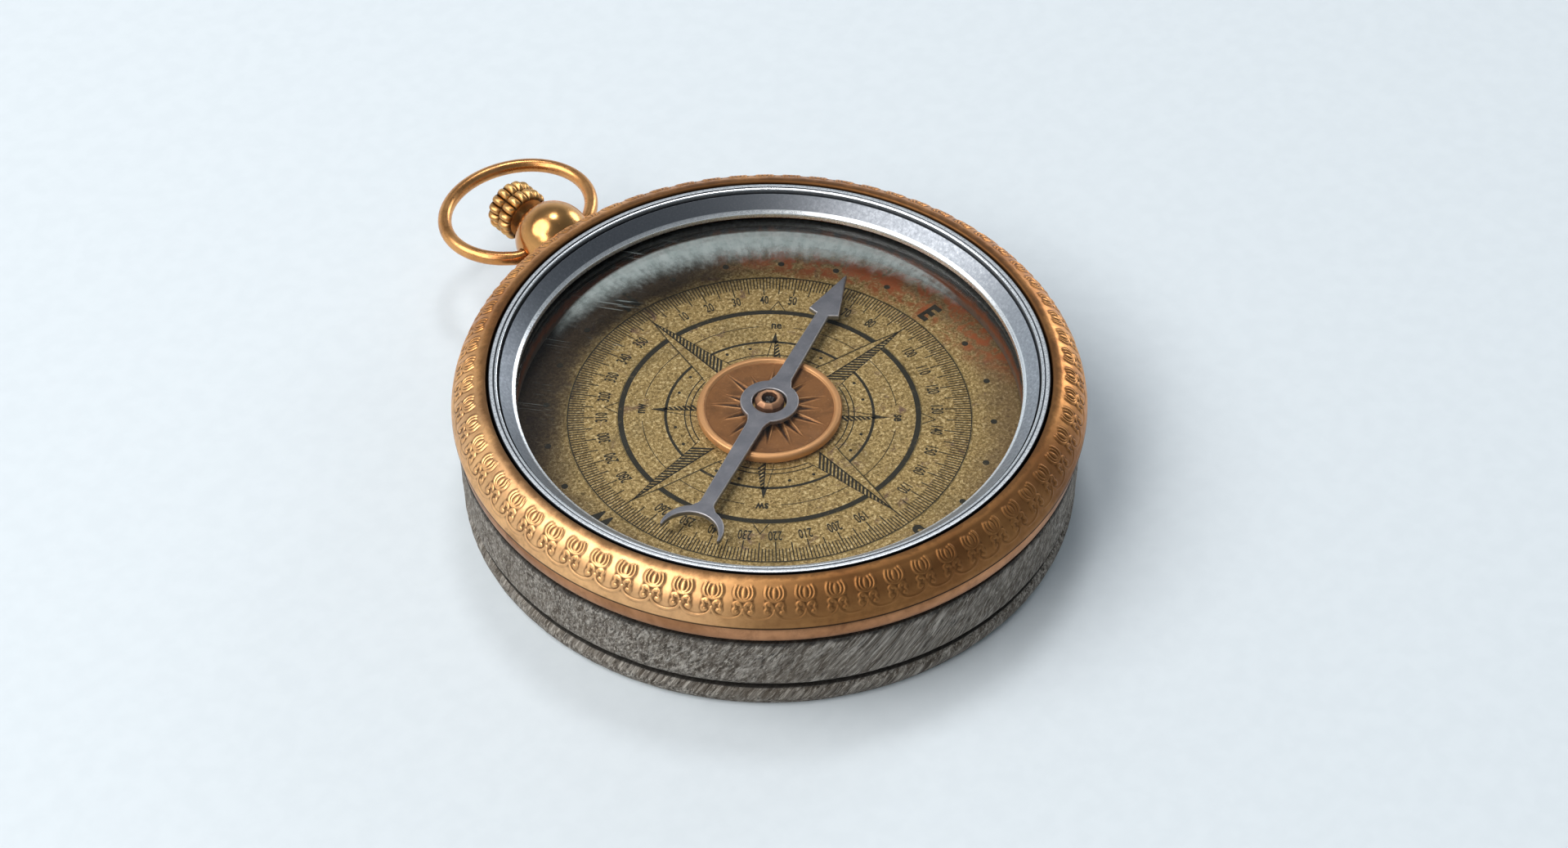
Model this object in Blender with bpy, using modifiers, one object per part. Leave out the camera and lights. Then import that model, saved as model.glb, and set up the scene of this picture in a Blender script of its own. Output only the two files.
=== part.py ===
"""Antique ship compass: a wooden case with a bronze bezel, a pendant bow and a needle lock worked by the crown.

Frame: metres, +Z up, the origin at the middle of the underside, on the needle's axis. +Y points to the
pendant, which is also the dial's north. Every piece of the object is its own solid.

The case is turned wood. Four long screws clamp the base plate, the wooden body and the bronze band. The bezel
screws over the band's collar and the steel ring screws inside it, over the crystal, its gasket and the liner
that hold down the dial. The dial rests on the flange of a brass bowl that hangs in the wood.

Turning the crown half a turn turns an eccentric cam on the stem. The cam pushes down the outer end of a lever
under the dial, whose forked inner end raises a collar round the pivot post and lifts the needle off it.
"""

import math

import bmesh
import bpy
from mathutils import Matrix, Vector

MM = 0.001
GAP = 0.3 * MM
RING_STEPS = 64
HIDDEN_STEPS = 40
ROUND_STEPS = 36
SMALL_STEPS = 14

# Case
BASE_TOP = 3.3 * MM
BASE_RADIUS = 40.9 * MM
BODY_BOTTOM = BASE_TOP + GAP
BODY_TOP = 11.9 * MM
BODY_RADIUS = 41.4 * MM
BORE_LOW_RADIUS = 32.1 * MM
BORE_HIGH_RADIUS = 34.7 * MM
LEDGE_Z = 9.1 * MM

# Band, bezel and steel ring
BAND_BOTTOM = BODY_TOP + GAP
BAND_TOP = 15.0 * MM
BAND_RADIUS = 41.6 * MM
COLLAR_INNER = 37.3 * MM
COLLAR_OUTER = 38.5 * MM
COLLAR_TOP = 18.2 * MM
BEZEL_BOTTOM = BAND_TOP + GAP
BEZEL_RADIUS = 42.0 * MM
BEZEL_CREST_RADIUS = 37.33 * MM
BEZEL_TOP = 20.2 * MM
BEZEL_FULLNESS = 1.8
BEZEL_BORE = 37.2 * MM
STEEL_RADIUS = 36.9 * MM
STEEL_WINDOW = 33.4 * MM
STEEL_EDGE_Z = 17.5 * MM
STEEL_TOP = 20.08 * MM
STEEL_BOTTOM = 15.6 * MM
STEEL_BORE = 35.6 * MM
STEEL_CONE_OUTER = 35.45 * MM
STEEL_CONE_TOP = 19.45 * MM
SPANNER_HOLE_RADIUS = 0.16 * MM
SPANNER_HOLE_SPOT = (-31.3 * MM, 17.2 * MM)

# Glass and dial stack
CRYSTAL_RADIUS = 35.2 * MM
CRYSTAL_BOTTOM = 15.5 * MM
CRYSTAL_TOP = 16.5 * MM
GASKET_INNER = 33.8 * MM
LINER_INNER = 33.6 * MM
LINER_OUTER = 34.4 * MM
LINER_FLANGE_RADIUS = 35.4 * MM
LINER_TOP = 14.5 * MM
LINER_FLANGE_THICKNESS = 0.6 * MM
DIAL_TOP = 11.3 * MM
DIAL_BOTTOM = 10.5 * MM
DIAL_HOLE = 3.7 * MM
ROSE_RADIUS = 9.7 * MM
ROSE_BORE = 2.6 * MM
ROSE_TOP = 12.5 * MM
ROSE_FIELD_Z = 12.15 * MM
BOWL_FLOOR_BOTTOM = 4.2 * MM
BOWL_FLOOR_TOP = 5.0 * MM
BOWL_WALL_INNER = 31.0 * MM
BOWL_WALL_OUTER = 31.8 * MM
BOWL_FLANGE_BOTTOM = 9.4 * MM
BOWL_FLANGE_TOP = 10.2 * MM
BOWL_SCREW_CIRCLE = 32.9 * MM
DIAL_FOOT_CIRCLE = 33.0 * MM

# Needle and its bearing
NEEDLE_BOTTOM = 12.85 * MM
NEEDLE_TOP = 13.45 * MM
NEEDLE_REST_ANGLE = math.radians(25)
NEEDLE_TIP = 27.0 * MM
NEEDLE_HUB_RADIUS = 3.92 * MM
NEEDLE_HOLE_RADIUS = 2.29 * MM
CAP_RADIUS = 2.0 * MM
CAP_TOP = 14.27 * MM
CAP_TOP_RADIUS = 1.35 * MM
CAP_BORE = 1.05 * MM
CAP_FACETS = 10
JEWEL_TOP = 14.0 * MM
POST_RADIUS = 0.6 * MM
POST_FOOT_RADIUS = 2.4 * MM
POST_FOOT_TOP = 6.1 * MM
POST_TIP_Z = 13.3 * MM

# Pendant, crown and bow, all on one axis along +Y
PENDANT_Z = 12.5 * MM
PENDANT_Y = 45.6 * MM
PENDANT_RADIUS = 5.4 * MM
TUBE_INNER = 1.1 * MM
TUBE_OUTER = 1.7 * MM
TUBE_START = 37.9 * MM
TUBE_END = 50.6 * MM
STEM_RADIUS = 0.8 * MM
STEM_START = 35.7 * MM
STEM_END = 54.7 * MM
CROWN_START = 51.55 * MM
CROWN_END = 56.1 * MM
CROWN_BODY_RADIUS = 3.3 * MM
CROWN_BEAD_RADIUS = 3.95 * MM
CROWN_BEADS = 16
BOW_WIRE_RADIUS = 0.97 * MM
BOW_CENTRE_Y = 53.6 * MM
BOW_HALF_WIDTH = 10.9 * MM
BOW_HALF_LENGTH = 9.54 * MM
BOW_PIN_END = 4.2 * MM
BOW_OPENING = 43

# Needle lock
LEVER_PIVOT_Y = 19.0 * MM
LEVER_PIVOT_Z = 8.0 * MM
LEVER_HALF_WIDTH = 2.0 * MM
LEVER_HALF_THICKNESS = 0.4 * MM
LEVER_BOSS_RADIUS = 1.5 * MM
LEVER_INNER_END = -3.6 * MM
LEVER_OUTER_END = 36.8 * MM
LEVER_TAB_TOP = 11.0 * MM
CAM_START = 35.8 * MM
CAM_END = 36.9 * MM
CAM_RADIUS = 1.6 * MM
CAM_THROW = 0.42 * MM
COLLAR_TUBE_OUTER = 2.3 * MM
COLLAR_TUBE_INNER = 1.2 * MM
COLLAR_FLANGE_RADIUS = 3.4 * MM
COLLAR_FLANGE_THICKNESS = 0.6 * MM
SPRING_Y = 27.0 * MM
SPRING_COIL_RADIUS = 1.3 * MM
SPRING_WIRE_RADIUS = 0.2 * MM
SPRING_RISE = 1.2 * MM

# Screws
SLOT_WIDTH = 0.3 * MM
SLOT_DEPTH = 0.35 * MM
BASE_SCREW_CIRCLE = 38.6 * MM
BASE_SCREW_ANGLES = (45, 135, 225, 315)
BOWL_SCREW_ANGLES = (30, 150, 270)
DIAL_FOOT_ANGLES = (0, 180)


# ---------------------------------------------------------------- scene, collections and materials


def clear_scene():
    for item in list(bpy.data.objects):
        bpy.data.objects.remove(item, do_unlink=True)


def new_collection(name):
    collection = bpy.data.collections.new(name)
    bpy.context.scene.collection.children.link(collection)
    return collection


def make_material(name, colour, roughness, metallic, alpha=1.0):
    material = bpy.data.materials.new(name)
    material.use_nodes = True
    shader = material.node_tree.nodes["Principled BSDF"]
    shader.inputs["Base Color"].default_value = (*colour, 1.0)
    shader.inputs["Roughness"].default_value = roughness
    shader.inputs["Metallic"].default_value = metallic
    shader.inputs["Alpha"].default_value = alpha
    material.diffuse_color = (*colour, alpha)
    return material


# ---------------------------------------------------------------- shape helpers


def place(item, collection, material=None):
    """Link an object to its collection, smooth its round faces and give it its material."""
    collection.objects.link(item)
    if item.type == "MESH":
        item.data.shade_smooth()
        item.data.set_sharp_from_angle(angle=math.radians(35))
    if material:
        item.data.materials.append(material)
    if collection is cutters:
        item.hide_render = True
        item.display_type = "WIRE"
    return item


def turned(name, outline, collection, material=None, steps=RING_STEPS, closed=True):
    """A profile of (radius, height) points, listed down its outer side, turned round the local Z axis."""
    mesh = bpy.data.meshes.new(name)
    points = [(radius, 0.0, height) for radius, height in outline]
    edges = [(i, i + 1) for i in range(len(points) - 1)]
    if closed:
        edges.append((len(points) - 1, 0))
    mesh.from_pydata(points, edges, [])
    item = place(bpy.data.objects.new(name, mesh), collection, material)
    screw = item.modifiers.new("turn", "SCREW")
    screw.axis = "Z"
    screw.angle = 2 * math.pi
    screw.steps = steps
    screw.render_steps = steps
    screw.use_merge_vertices = True
    screw.merge_threshold = 0.00001
    screw.use_smooth_shade = True
    return item


def ring(name, inner, outer, bottom, top, collection, material=None, steps=RING_STEPS):
    """A plain ring with a rectangular section."""
    outline = [(outer, top), (outer, bottom), (inner, bottom), (inner, top)]
    return turned(name, outline, collection, material, steps)


def mesh_object(name, build, collection, material=None):
    """An object whose mesh is made by build(bmesh)."""
    mesh = bpy.data.meshes.new(name)
    work = bmesh.new()
    build(work)
    bmesh.ops.recalc_face_normals(work, faces=work.faces)
    work.to_mesh(mesh)
    work.free()
    return place(bpy.data.objects.new(name, mesh), collection, material)


def box(name, lowest, highest, collection, material=None):
    """A box between two corners."""
    size = Vector(highest) - Vector(lowest)
    middle = (Vector(highest) + Vector(lowest)) / 2
    matrix = Matrix.Translation(middle) @ Matrix.Diagonal((*size, 1.0))
    return mesh_object(name, lambda work: bmesh.ops.create_cube(work, size=1.0, matrix=matrix), collection, material)


def cylinder(name, radius, start, end, collection, material=None, steps=SMALL_STEPS):
    """A cylinder between two points."""
    along = Vector(end) - Vector(start)
    turn = Vector((0, 0, 1)).rotation_difference(along).to_matrix().to_4x4()
    matrix = Matrix.Translation((Vector(start) + Vector(end)) / 2) @ turn

    def build(work):
        bmesh.ops.create_cone(
            work,
            cap_ends=True,
            segments=steps,
            radius1=radius,
            radius2=radius,
            depth=along.length,
            matrix=matrix,
        )

    return mesh_object(name, build, collection, material)


def flat_plate(name, outlines, thickness, collection, material=None):
    """Closed outlines of (x, y) points as one flat plate with holes, centred on its thickness."""
    curve = bpy.data.curves.new(name, "CURVE")
    curve.dimensions = "2D"
    curve.fill_mode = "BOTH"
    curve.extrude = thickness / 2
    for outline in outlines:
        spline = curve.splines.new("POLY")
        spline.points.add(len(outline) - 1)
        for point, (x, y) in zip(spline.points, outline):
            point.co = (x, y, 0.0, 1.0)
        spline.use_cyclic_u = True
    return place(bpy.data.objects.new(name, curve), collection, material)


def wire(name, points, radius, resolution, collection, material=None):
    """A round wire through the points, with capped ends."""
    curve = bpy.data.curves.new(name, "CURVE")
    curve.dimensions = "3D"
    curve.bevel_depth = radius
    curve.bevel_resolution = resolution
    curve.use_fill_caps = True
    spline = curve.splines.new("POLY")
    spline.points.add(len(points) - 1)
    for point, place_at in zip(spline.points, points):
        point.co = (*place_at, 1.0)
    return place(bpy.data.objects.new(name, curve), collection, material)


def meshed(item):
    """The evaluated mesh of a curve object as a plain object of the same name, so that it can be cut."""
    bpy.context.view_layer.update()
    name = item.name
    collection = item.users_collection[0]
    evaluated = item.evaluated_get(bpy.context.evaluated_depsgraph_get())
    mesh = bpy.data.meshes.new_from_object(evaluated)
    matrix = item.matrix_world.copy()
    bpy.data.objects.remove(item, do_unlink=True)
    work = bmesh.new()
    work.from_mesh(mesh)
    bmesh.ops.remove_doubles(work, verts=work.verts, dist=0.000001)
    bmesh.ops.recalc_face_normals(work, faces=work.faces)
    work.to_mesh(mesh)
    work.free()
    solid = place(bpy.data.objects.new(name, mesh), collection)
    solid.matrix_world = matrix
    return solid


def cut(item, *tools):
    """Take each cutter away from the object."""
    for tool in tools:
        boolean = item.modifiers.new(tool.name, "BOOLEAN")
        boolean.operation = "DIFFERENCE"
        boolean.solver = "EXACT"
        boolean.object = tool


def lay_along_y(item, start):
    """Turn an object from its local Z axis onto the pendant's axis, starting at that distance from the middle."""
    item.rotation_euler = (-math.pi / 2, 0, 0)
    item.location = (0, start, PENDANT_Z)
    return item


def on_circle(radius, degrees, height):
    angle = math.radians(degrees)
    return Vector((radius * math.cos(angle), radius * math.sin(angle), height))


def arc(centre, radius, start, end, count):
    """Points along a circular arc, both ends included, with its angles in degrees."""
    angles = [math.radians(start + (end - start) * i / (count - 1)) for i in range(count)]
    return [(centre[0] + radius * math.cos(a), centre[1] + radius * math.sin(a)) for a in angles]


# ---------------------------------------------------------------- screws


def screw_outline(head, shank, length, grow):
    """A countersunk screw, its flat head at height 0 and its shank hanging down, grown evenly on all sides."""
    cone = head - shank
    return [
        (0, 0),
        (head + grow, 0),
        (head + grow, -0.2 * MM - grow),
        (shank + grow, -0.2 * MM - grow - cone),
        (shank + grow, -length - grow),
        (0, -length - grow),
    ]


def countersunk_screw(name, head, shank, length, spot, material, faces_down=False):
    """A slotted screw, and the clearance cutter of the hole that it sits in."""
    screw = turned(name, screw_outline(head, shank, length, 0), parts, material, SMALL_STEPS, closed=False)
    clear_above = 1 * MM
    hole_outline = [(0, clear_above), (head + GAP, clear_above)] + screw_outline(head, shank, length, GAP)[2:]
    hole = turned(name + "_hole", hole_outline, cutters, None, SMALL_STEPS, closed=False)
    slot = box(
        name + "_slot",
        (-2 * head, -SLOT_WIDTH / 2, -SLOT_DEPTH),
        (2 * head, SLOT_WIDTH / 2, head),
        cutters,
    )
    cut(screw, slot)
    slot.parent = screw
    for item in (screw, hole):
        item.location = spot
        if faces_down:
            item.rotation_euler = (math.pi, 0, 0)
    return hole


# ---------------------------------------------------------------- case


def make_case():
    """Wooden body and base plate, bronze band, bezel, steel ring, and the screws that hold them."""
    body = turned(
        "case_body",
        [
            (BODY_RADIUS - 0.1 * MM, BODY_TOP),
            (BODY_RADIUS + 0.05 * MM, BODY_TOP - 0.4 * MM),
            (BODY_RADIUS, 6.0 * MM),
            (BODY_RADIUS - 0.1 * MM, 4.3 * MM),
            (BODY_RADIUS - 0.5 * MM, 3.75 * MM),
            (BODY_RADIUS - 0.8 * MM, BODY_BOTTOM),
            (BORE_LOW_RADIUS, BODY_BOTTOM),
            (BORE_LOW_RADIUS, LEDGE_Z),
            (BORE_HIGH_RADIUS, LEDGE_Z),
            (BORE_HIGH_RADIUS, BODY_TOP),
        ],
        parts,
        wood,
    )
    base = turned(
        "base_plate",
        [
            (0, BASE_TOP),
            (BASE_RADIUS, BASE_TOP),
            (BASE_RADIUS + 0.35 * MM, 2.6 * MM),
            (BASE_RADIUS + 0.45 * MM, 1.7 * MM),
            (BASE_RADIUS + 0.3 * MM, 0.7 * MM),
            (BASE_RADIUS, 0.15 * MM),
            (BASE_RADIUS - 0.3 * MM, 0),
            (0, 0),
        ],
        parts,
        wood,
        closed=False,
    )
    band = turned(
        "case_band",
        [
            (COLLAR_OUTER, COLLAR_TOP),
            (COLLAR_OUTER, BAND_TOP),
            (BAND_RADIUS - 0.4 * MM, BAND_TOP),
            (BAND_RADIUS, BAND_TOP - 0.5 * MM),
            (BAND_RADIUS, BAND_BOTTOM + 0.5 * MM),
            (BAND_RADIUS - 0.3 * MM, BAND_BOTTOM),
            (COLLAR_INNER, BAND_BOTTOM),
            (COLLAR_INNER, COLLAR_TOP),
        ],
        parts,
        bronze,
    )
    for number, degrees in enumerate(BASE_SCREW_ANGLES, 1):
        spot = on_circle(BASE_SCREW_CIRCLE, degrees, 0.15 * MM)
        hole = countersunk_screw(f"base_screw_{number}", 1.2 * MM, 0.6 * MM, 13.4 * MM, spot, brass, faces_down=True)
        cut(base, hole)
        cut(body, hole)
        cut(band, hole)

    turned("bezel", bezel_outline(), parts, bronze)
    steel_ring = turned(
        "steel_ring",
        [
            (STEEL_RADIUS, STEEL_TOP - 0.35 * MM),
            (STEEL_RADIUS, STEEL_BOTTOM),
            (STEEL_BORE, STEEL_BOTTOM),
            (STEEL_BORE, CRYSTAL_TOP + GAP),
            (STEEL_WINDOW, CRYSTAL_TOP + GAP),
            (STEEL_WINDOW, STEEL_EDGE_Z),
            (STEEL_WINDOW + 0.35 * MM, STEEL_EDGE_Z + 0.32 * MM),
            (STEEL_CONE_OUTER, STEEL_CONE_TOP),
            (STEEL_CONE_OUTER + 0.17 * MM, STEEL_CONE_TOP),
            (STEEL_RADIUS - 1.12 * MM, STEEL_TOP - 0.23 * MM),
            (STEEL_RADIUS - 0.8 * MM, STEEL_TOP - 0.04 * MM),
            (STEEL_RADIUS - 0.45 * MM, STEEL_TOP),
            (STEEL_RADIUS - 0.14 * MM, STEEL_TOP - 0.1 * MM),
        ],
        parts,
        steel,
    )
    x, y = SPANNER_HOLE_SPOT
    hole_bottom = STEEL_CONE_TOP - 0.85 * MM
    spanner_hole = cylinder("spanner_hole", SPANNER_HOLE_RADIUS, (x, y, hole_bottom), (x, y, BEZEL_TOP), cutters)
    cut(steel_ring, spanner_hole)

    stem_way = cylinder("stem_way", TUBE_OUTER + GAP, (0, 36 * MM, PENDANT_Z), (0, 60 * MM, PENDANT_Z), cutters)
    lever_pocket = box("lever_pocket", (-3 * MM, 31.5 * MM, 5.8 * MM), (3 * MM, 38 * MM, 13 * MM), cutters)
    cut(body, stem_way, lever_pocket)
    cut(band, stem_way)
    return body, stem_way


def bezel_outline():
    """The rounded outer face of the bezel, and the hollow that fits over the band's collar."""
    width = BEZEL_RADIUS - BEZEL_CREST_RADIUS
    height = BEZEL_TOP - BEZEL_BOTTOM
    power = 2 / BEZEL_FULLNESS
    outline = []
    for degrees in (86, 76, 66, 57, 48, 39, 30, 20, 10, 0):
        angle = math.radians(degrees)
        outline.append((
            BEZEL_CREST_RADIUS + width * math.cos(angle) ** power,
            BEZEL_BOTTOM + height * math.sin(angle) ** power,
        ))
    roof = COLLAR_TOP + 0.4 * MM
    outline += [
        (COLLAR_OUTER + GAP, BEZEL_BOTTOM),
        (COLLAR_OUTER + GAP, roof),
        (BEZEL_BORE, roof),
        (BEZEL_BORE, BEZEL_TOP - 0.3 * MM),
        (BEZEL_CREST_RADIUS + 0.1 * MM, BEZEL_TOP),
    ]
    return outline


# ---------------------------------------------------------------- glass, dial and bowl


def make_dial_stack(body):
    """Crystal, gasket, liner, dial, centre rose and the brass bowl that carries them."""
    turned(
        "crystal",
        [(0, CRYSTAL_TOP), (CRYSTAL_RADIUS, CRYSTAL_TOP), (CRYSTAL_RADIUS, CRYSTAL_BOTTOM), (0, CRYSTAL_BOTTOM)],
        parts,
        glass,
        closed=False,
    )
    ring("gasket", GASKET_INNER, CRYSTAL_RADIUS, LINER_TOP + GAP, CRYSTAL_BOTTOM - GAP, parts, leather, HIDDEN_STEPS)
    turned(
        "liner_ring",
        [
            (LINER_FLANGE_RADIUS, LINER_TOP),
            (LINER_FLANGE_RADIUS, LINER_TOP - LINER_FLANGE_THICKNESS),
            (LINER_OUTER, LINER_TOP - LINER_FLANGE_THICKNESS),
            (LINER_OUTER, DIAL_TOP + GAP),
            (LINER_INNER, DIAL_TOP + GAP),
            (LINER_INNER, LINER_TOP),
        ],
        parts,
        copper,
    )
    ring("dial_plate", DIAL_HOLE, LINER_OUTER, DIAL_BOTTOM, DIAL_TOP, parts, brass)
    rose_bottom = DIAL_TOP + GAP
    turned(
        "rose_disc",
        [
            (ROSE_RADIUS - 0.6 * MM, ROSE_TOP),
            (ROSE_RADIUS - 0.2 * MM, ROSE_TOP - 0.08 * MM),
            (ROSE_RADIUS, ROSE_TOP - 0.4 * MM),
            (ROSE_RADIUS - 0.05 * MM, rose_bottom),
            (DIAL_HOLE - GAP, rose_bottom),
            (DIAL_HOLE - GAP, DIAL_BOTTOM),
            (ROSE_BORE, DIAL_BOTTOM),
            (ROSE_BORE, ROSE_FIELD_Z),
            (ROSE_RADIUS - 1.2 * MM, ROSE_FIELD_Z),
            (ROSE_RADIUS - 0.95 * MM, ROSE_TOP - 0.08 * MM),
        ],
        parts,
        copper,
        ROUND_STEPS,
    )
    bowl = turned(
        "bowl",
        [
            (0, BOWL_FLOOR_TOP),
            (BOWL_WALL_INNER, BOWL_FLOOR_TOP),
            (BOWL_WALL_INNER, BOWL_FLANGE_TOP),
            (LINER_OUTER, BOWL_FLANGE_TOP),
            (LINER_OUTER, BOWL_FLANGE_BOTTOM),
            (BOWL_WALL_OUTER, BOWL_FLANGE_BOTTOM),
            (BOWL_WALL_OUTER, BOWL_FLOOR_BOTTOM),
            (0, BOWL_FLOOR_BOTTOM),
        ],
        parts,
        brass,
        HIDDEN_STEPS,
        closed=False,
    )
    lever_notch = box("lever_notch", (-2.5 * MM, 29 * MM, 6.4 * MM), (2.5 * MM, 33 * MM, 9.0 * MM), cutters)
    cut(bowl, lever_notch)

    for number, degrees in enumerate(BOWL_SCREW_ANGLES, 1):
        spot = on_circle(BOWL_SCREW_CIRCLE, degrees, BOWL_FLANGE_TOP - 0.05 * MM)
        hole = countersunk_screw(f"bowl_screw_{number}", 0.85 * MM, 0.45 * MM, 4.6 * MM, spot, steel)
        cut(bowl, hole)
        cut(body, hole)
    for number, degrees in enumerate(DIAL_FOOT_ANGLES, 1):
        foot_radius = 0.4 * MM
        low = on_circle(DIAL_FOOT_CIRCLE, degrees, 8.3 * MM)
        high = on_circle(DIAL_FOOT_CIRCLE, degrees, DIAL_BOTTOM - GAP)
        cylinder(f"dial_foot_{number}", foot_radius, low, high, parts, copper, steps=16)
        margin = Vector((0, 0, GAP))
        hole = cylinder(f"foot_hole_{number}", foot_radius + GAP, low - margin, high + margin, cutters, steps=16)
        cut(bowl, hole)
        cut(body, hole)


# ---------------------------------------------------------------- needle and pivot


def needle_half_outline():
    """One side of the needle from its arrow tip to the fork, as (along, across) points, north along +X."""
    shaft_north = 0.90 * MM
    shaft_hub = 1.22 * MM
    shaft_south = 1.0 * MM
    fork_outer = (25.33 * MM, 4.2 * MM)
    fork_inner = (26.3 * MM, 3.81 * MM)
    hub_angle = math.degrees(math.asin(shaft_hub / NEEDLE_HUB_RADIUS))
    outline = [
        (NEEDLE_TIP, 0.12 * MM),
        (18.9 * MM, 2.2 * MM),
        (18.4 * MM, shaft_north),
    ]
    outline += [(NEEDLE_HUB_RADIUS + 0.5 * MM, shaft_hub - 0.05 * MM)]
    outline += arc((0, 0), NEEDLE_HUB_RADIUS, hub_angle + 4, 176 - hub_angle, 15)
    outline += [(-NEEDLE_HUB_RADIUS - 0.5 * MM, shaft_hub - 0.05 * MM), (-20.3 * MM, shaft_south)]
    outline += [(-20.9 * MM, shaft_south + 0.25 * MM)]
    outline += arc((-fork_outer[0], 0), fork_outer[1], 24, 96, 8)
    outline += arc((-fork_inner[0], 0), fork_inner[1], 85, 0, 9)
    return outline


def make_needle():
    """The blade, its faceted cap with the jewel, and the fixed pivot post under it."""
    half = needle_half_outline()
    outline = half + [(x, -y) for x, y in reversed(half[:-1])]
    hole = arc((0, 0), NEEDLE_HOLE_RADIUS, 0, 360 - 360 / 28, 28)
    needle = flat_plate("needle", [outline, hole], NEEDLE_TOP - NEEDLE_BOTTOM, parts, blued_steel)
    needle.location = (0, 0, (NEEDLE_TOP + NEEDLE_BOTTOM) / 2)
    needle.rotation_euler = (0, 0, NEEDLE_REST_ANGLE)

    turned(
        "needle_cap",
        [
            (CAP_TOP_RADIUS, CAP_TOP),
            (CAP_RADIUS, CAP_TOP - 0.55 * MM),
            (CAP_RADIUS, NEEDLE_BOTTOM),
            (CAP_BORE, NEEDLE_BOTTOM),
            (CAP_BORE, CAP_TOP - 0.1 * MM),
        ],
        parts,
        copper,
        CAP_FACETS,
    ).rotation_euler = (0, 0, NEEDLE_REST_ANGLE)
    turned(
        "jewel_bearing",
        [
            (0, JEWEL_TOP),
            (CAP_BORE - GAP - 0.15 * MM, JEWEL_TOP),
            (CAP_BORE - GAP, JEWEL_TOP - 0.1 * MM),
            (CAP_BORE - GAP, POST_TIP_Z + GAP),
            (0, POST_TIP_Z + GAP),
        ],
        parts,
        jewel,
        SMALL_STEPS,
        closed=False,
    )
    turned(
        "pivot_post",
        [
            (0, POST_TIP_Z),
            (POST_RADIUS, POST_TIP_Z - 1.4 * MM),
            (POST_RADIUS, POST_FOOT_TOP),
            (POST_FOOT_RADIUS, POST_FOOT_TOP),
            (POST_FOOT_RADIUS, BOWL_FLOOR_TOP + GAP),
            (0, BOWL_FLOOR_TOP + GAP),
        ],
        parts,
        steel,
        SMALL_STEPS,
        closed=False,
    )


# ---------------------------------------------------------------- needle lock


def make_lock():
    """Lifting collar, lever with its bracket, pin and spring, and the cam on the stem."""
    flange_bottom = LEVER_PIVOT_Z + LEVER_HALF_THICKNESS + GAP
    turned(
        "lifter_collar",
        [
            (COLLAR_TUBE_OUTER, NEEDLE_BOTTOM - GAP),
            (COLLAR_TUBE_OUTER, flange_bottom + COLLAR_FLANGE_THICKNESS),
            (COLLAR_FLANGE_RADIUS, flange_bottom + COLLAR_FLANGE_THICKNESS),
            (COLLAR_FLANGE_RADIUS, flange_bottom),
            (COLLAR_TUBE_INNER, flange_bottom),
            (COLLAR_TUBE_INNER, NEEDLE_BOTTOM - GAP),
        ],
        parts,
        brass,
        2 * SMALL_STEPS,
    )

    lever = meshed(flat_plate("lock_lever", [lever_side_outline()], 2 * LEVER_HALF_WIDTH, parts, brass))
    lever.rotation_euler = (math.pi / 2, 0, math.pi / 2)
    lever.location = (0, LEVER_PIVOT_Y, LEVER_PIVOT_Z)
    pin_radius = 0.5 * MM
    pin_bore = cylinder(
        "pin_bore", pin_radius + GAP, (-5 * MM, LEVER_PIVOT_Y, LEVER_PIVOT_Z), (5 * MM, LEVER_PIVOT_Y, LEVER_PIVOT_Z),
        cutters,
    )
    post_slot = box("post_slot", (-1 * MM, -5 * MM, 6 * MM), (1 * MM, 1.8 * MM, 10 * MM), cutters)
    cut(lever, pin_bore, post_slot)

    cheek_inner = LEVER_HALF_WIDTH + 0.4 * MM
    cheek_outer = cheek_inner + 0.8 * MM
    foot_low = BOWL_FLOOR_TOP + GAP - LEVER_PIVOT_Z
    foot_high = foot_low + 0.8 * MM
    cheek_top = 1.1 * MM
    bracket_outline = [
        (cheek_outer, cheek_top),
        (cheek_outer, foot_low),
        (-cheek_outer, foot_low),
        (-cheek_outer, cheek_top),
        (-cheek_inner, cheek_top),
        (-cheek_inner, foot_high),
        (cheek_inner, foot_high),
        (cheek_inner, cheek_top),
    ]
    bracket = meshed(flat_plate("lever_bracket", [bracket_outline], 3.2 * MM, parts, brass))
    bracket.rotation_euler = (math.pi / 2, 0, 0)
    bracket.location = (0, LEVER_PIVOT_Y, LEVER_PIVOT_Z)
    cut(bracket, pin_bore)
    pin_end = cheek_outer + 0.3 * MM
    cylinder(
        "lever_pin", pin_radius, (-pin_end, LEVER_PIVOT_Y, LEVER_PIVOT_Z), (pin_end, LEVER_PIVOT_Y, LEVER_PIVOT_Z),
        parts, steel,
    )

    turns = 3.5
    per_turn = 12
    count = int(turns * per_turn) + 1
    low = BOWL_FLOOR_TOP + GAP + SPRING_WIRE_RADIUS
    coil = []
    for i in range(count):
        angle = 2 * math.pi * i / per_turn
        x = SPRING_COIL_RADIUS * math.cos(angle)
        y = SPRING_Y + SPRING_COIL_RADIUS * math.sin(angle)
        coil.append((x, y, low + SPRING_RISE * i / (count - 1)))
    wire("return_spring", coil, SPRING_WIRE_RADIUS, 1, parts, steel)

    cam_length = CAM_END - CAM_START
    cam = turned(
        "lock_cam",
        [(0, cam_length), (CAM_RADIUS, cam_length), (CAM_RADIUS, 0), (0, 0)],
        parts,
        steel,
        ROUND_STEPS,
        closed=False,
    )
    lay_along_y(cam, CAM_START)
    cam.location.z += CAM_THROW
    cam_bore = cylinder(
        "cam_bore", STEM_RADIUS + GAP, (0, CAM_START - 1 * MM, PENDANT_Z), (0, CAM_END + 1 * MM, PENDANT_Z), cutters
    )
    cut(cam, cam_bore)


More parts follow.
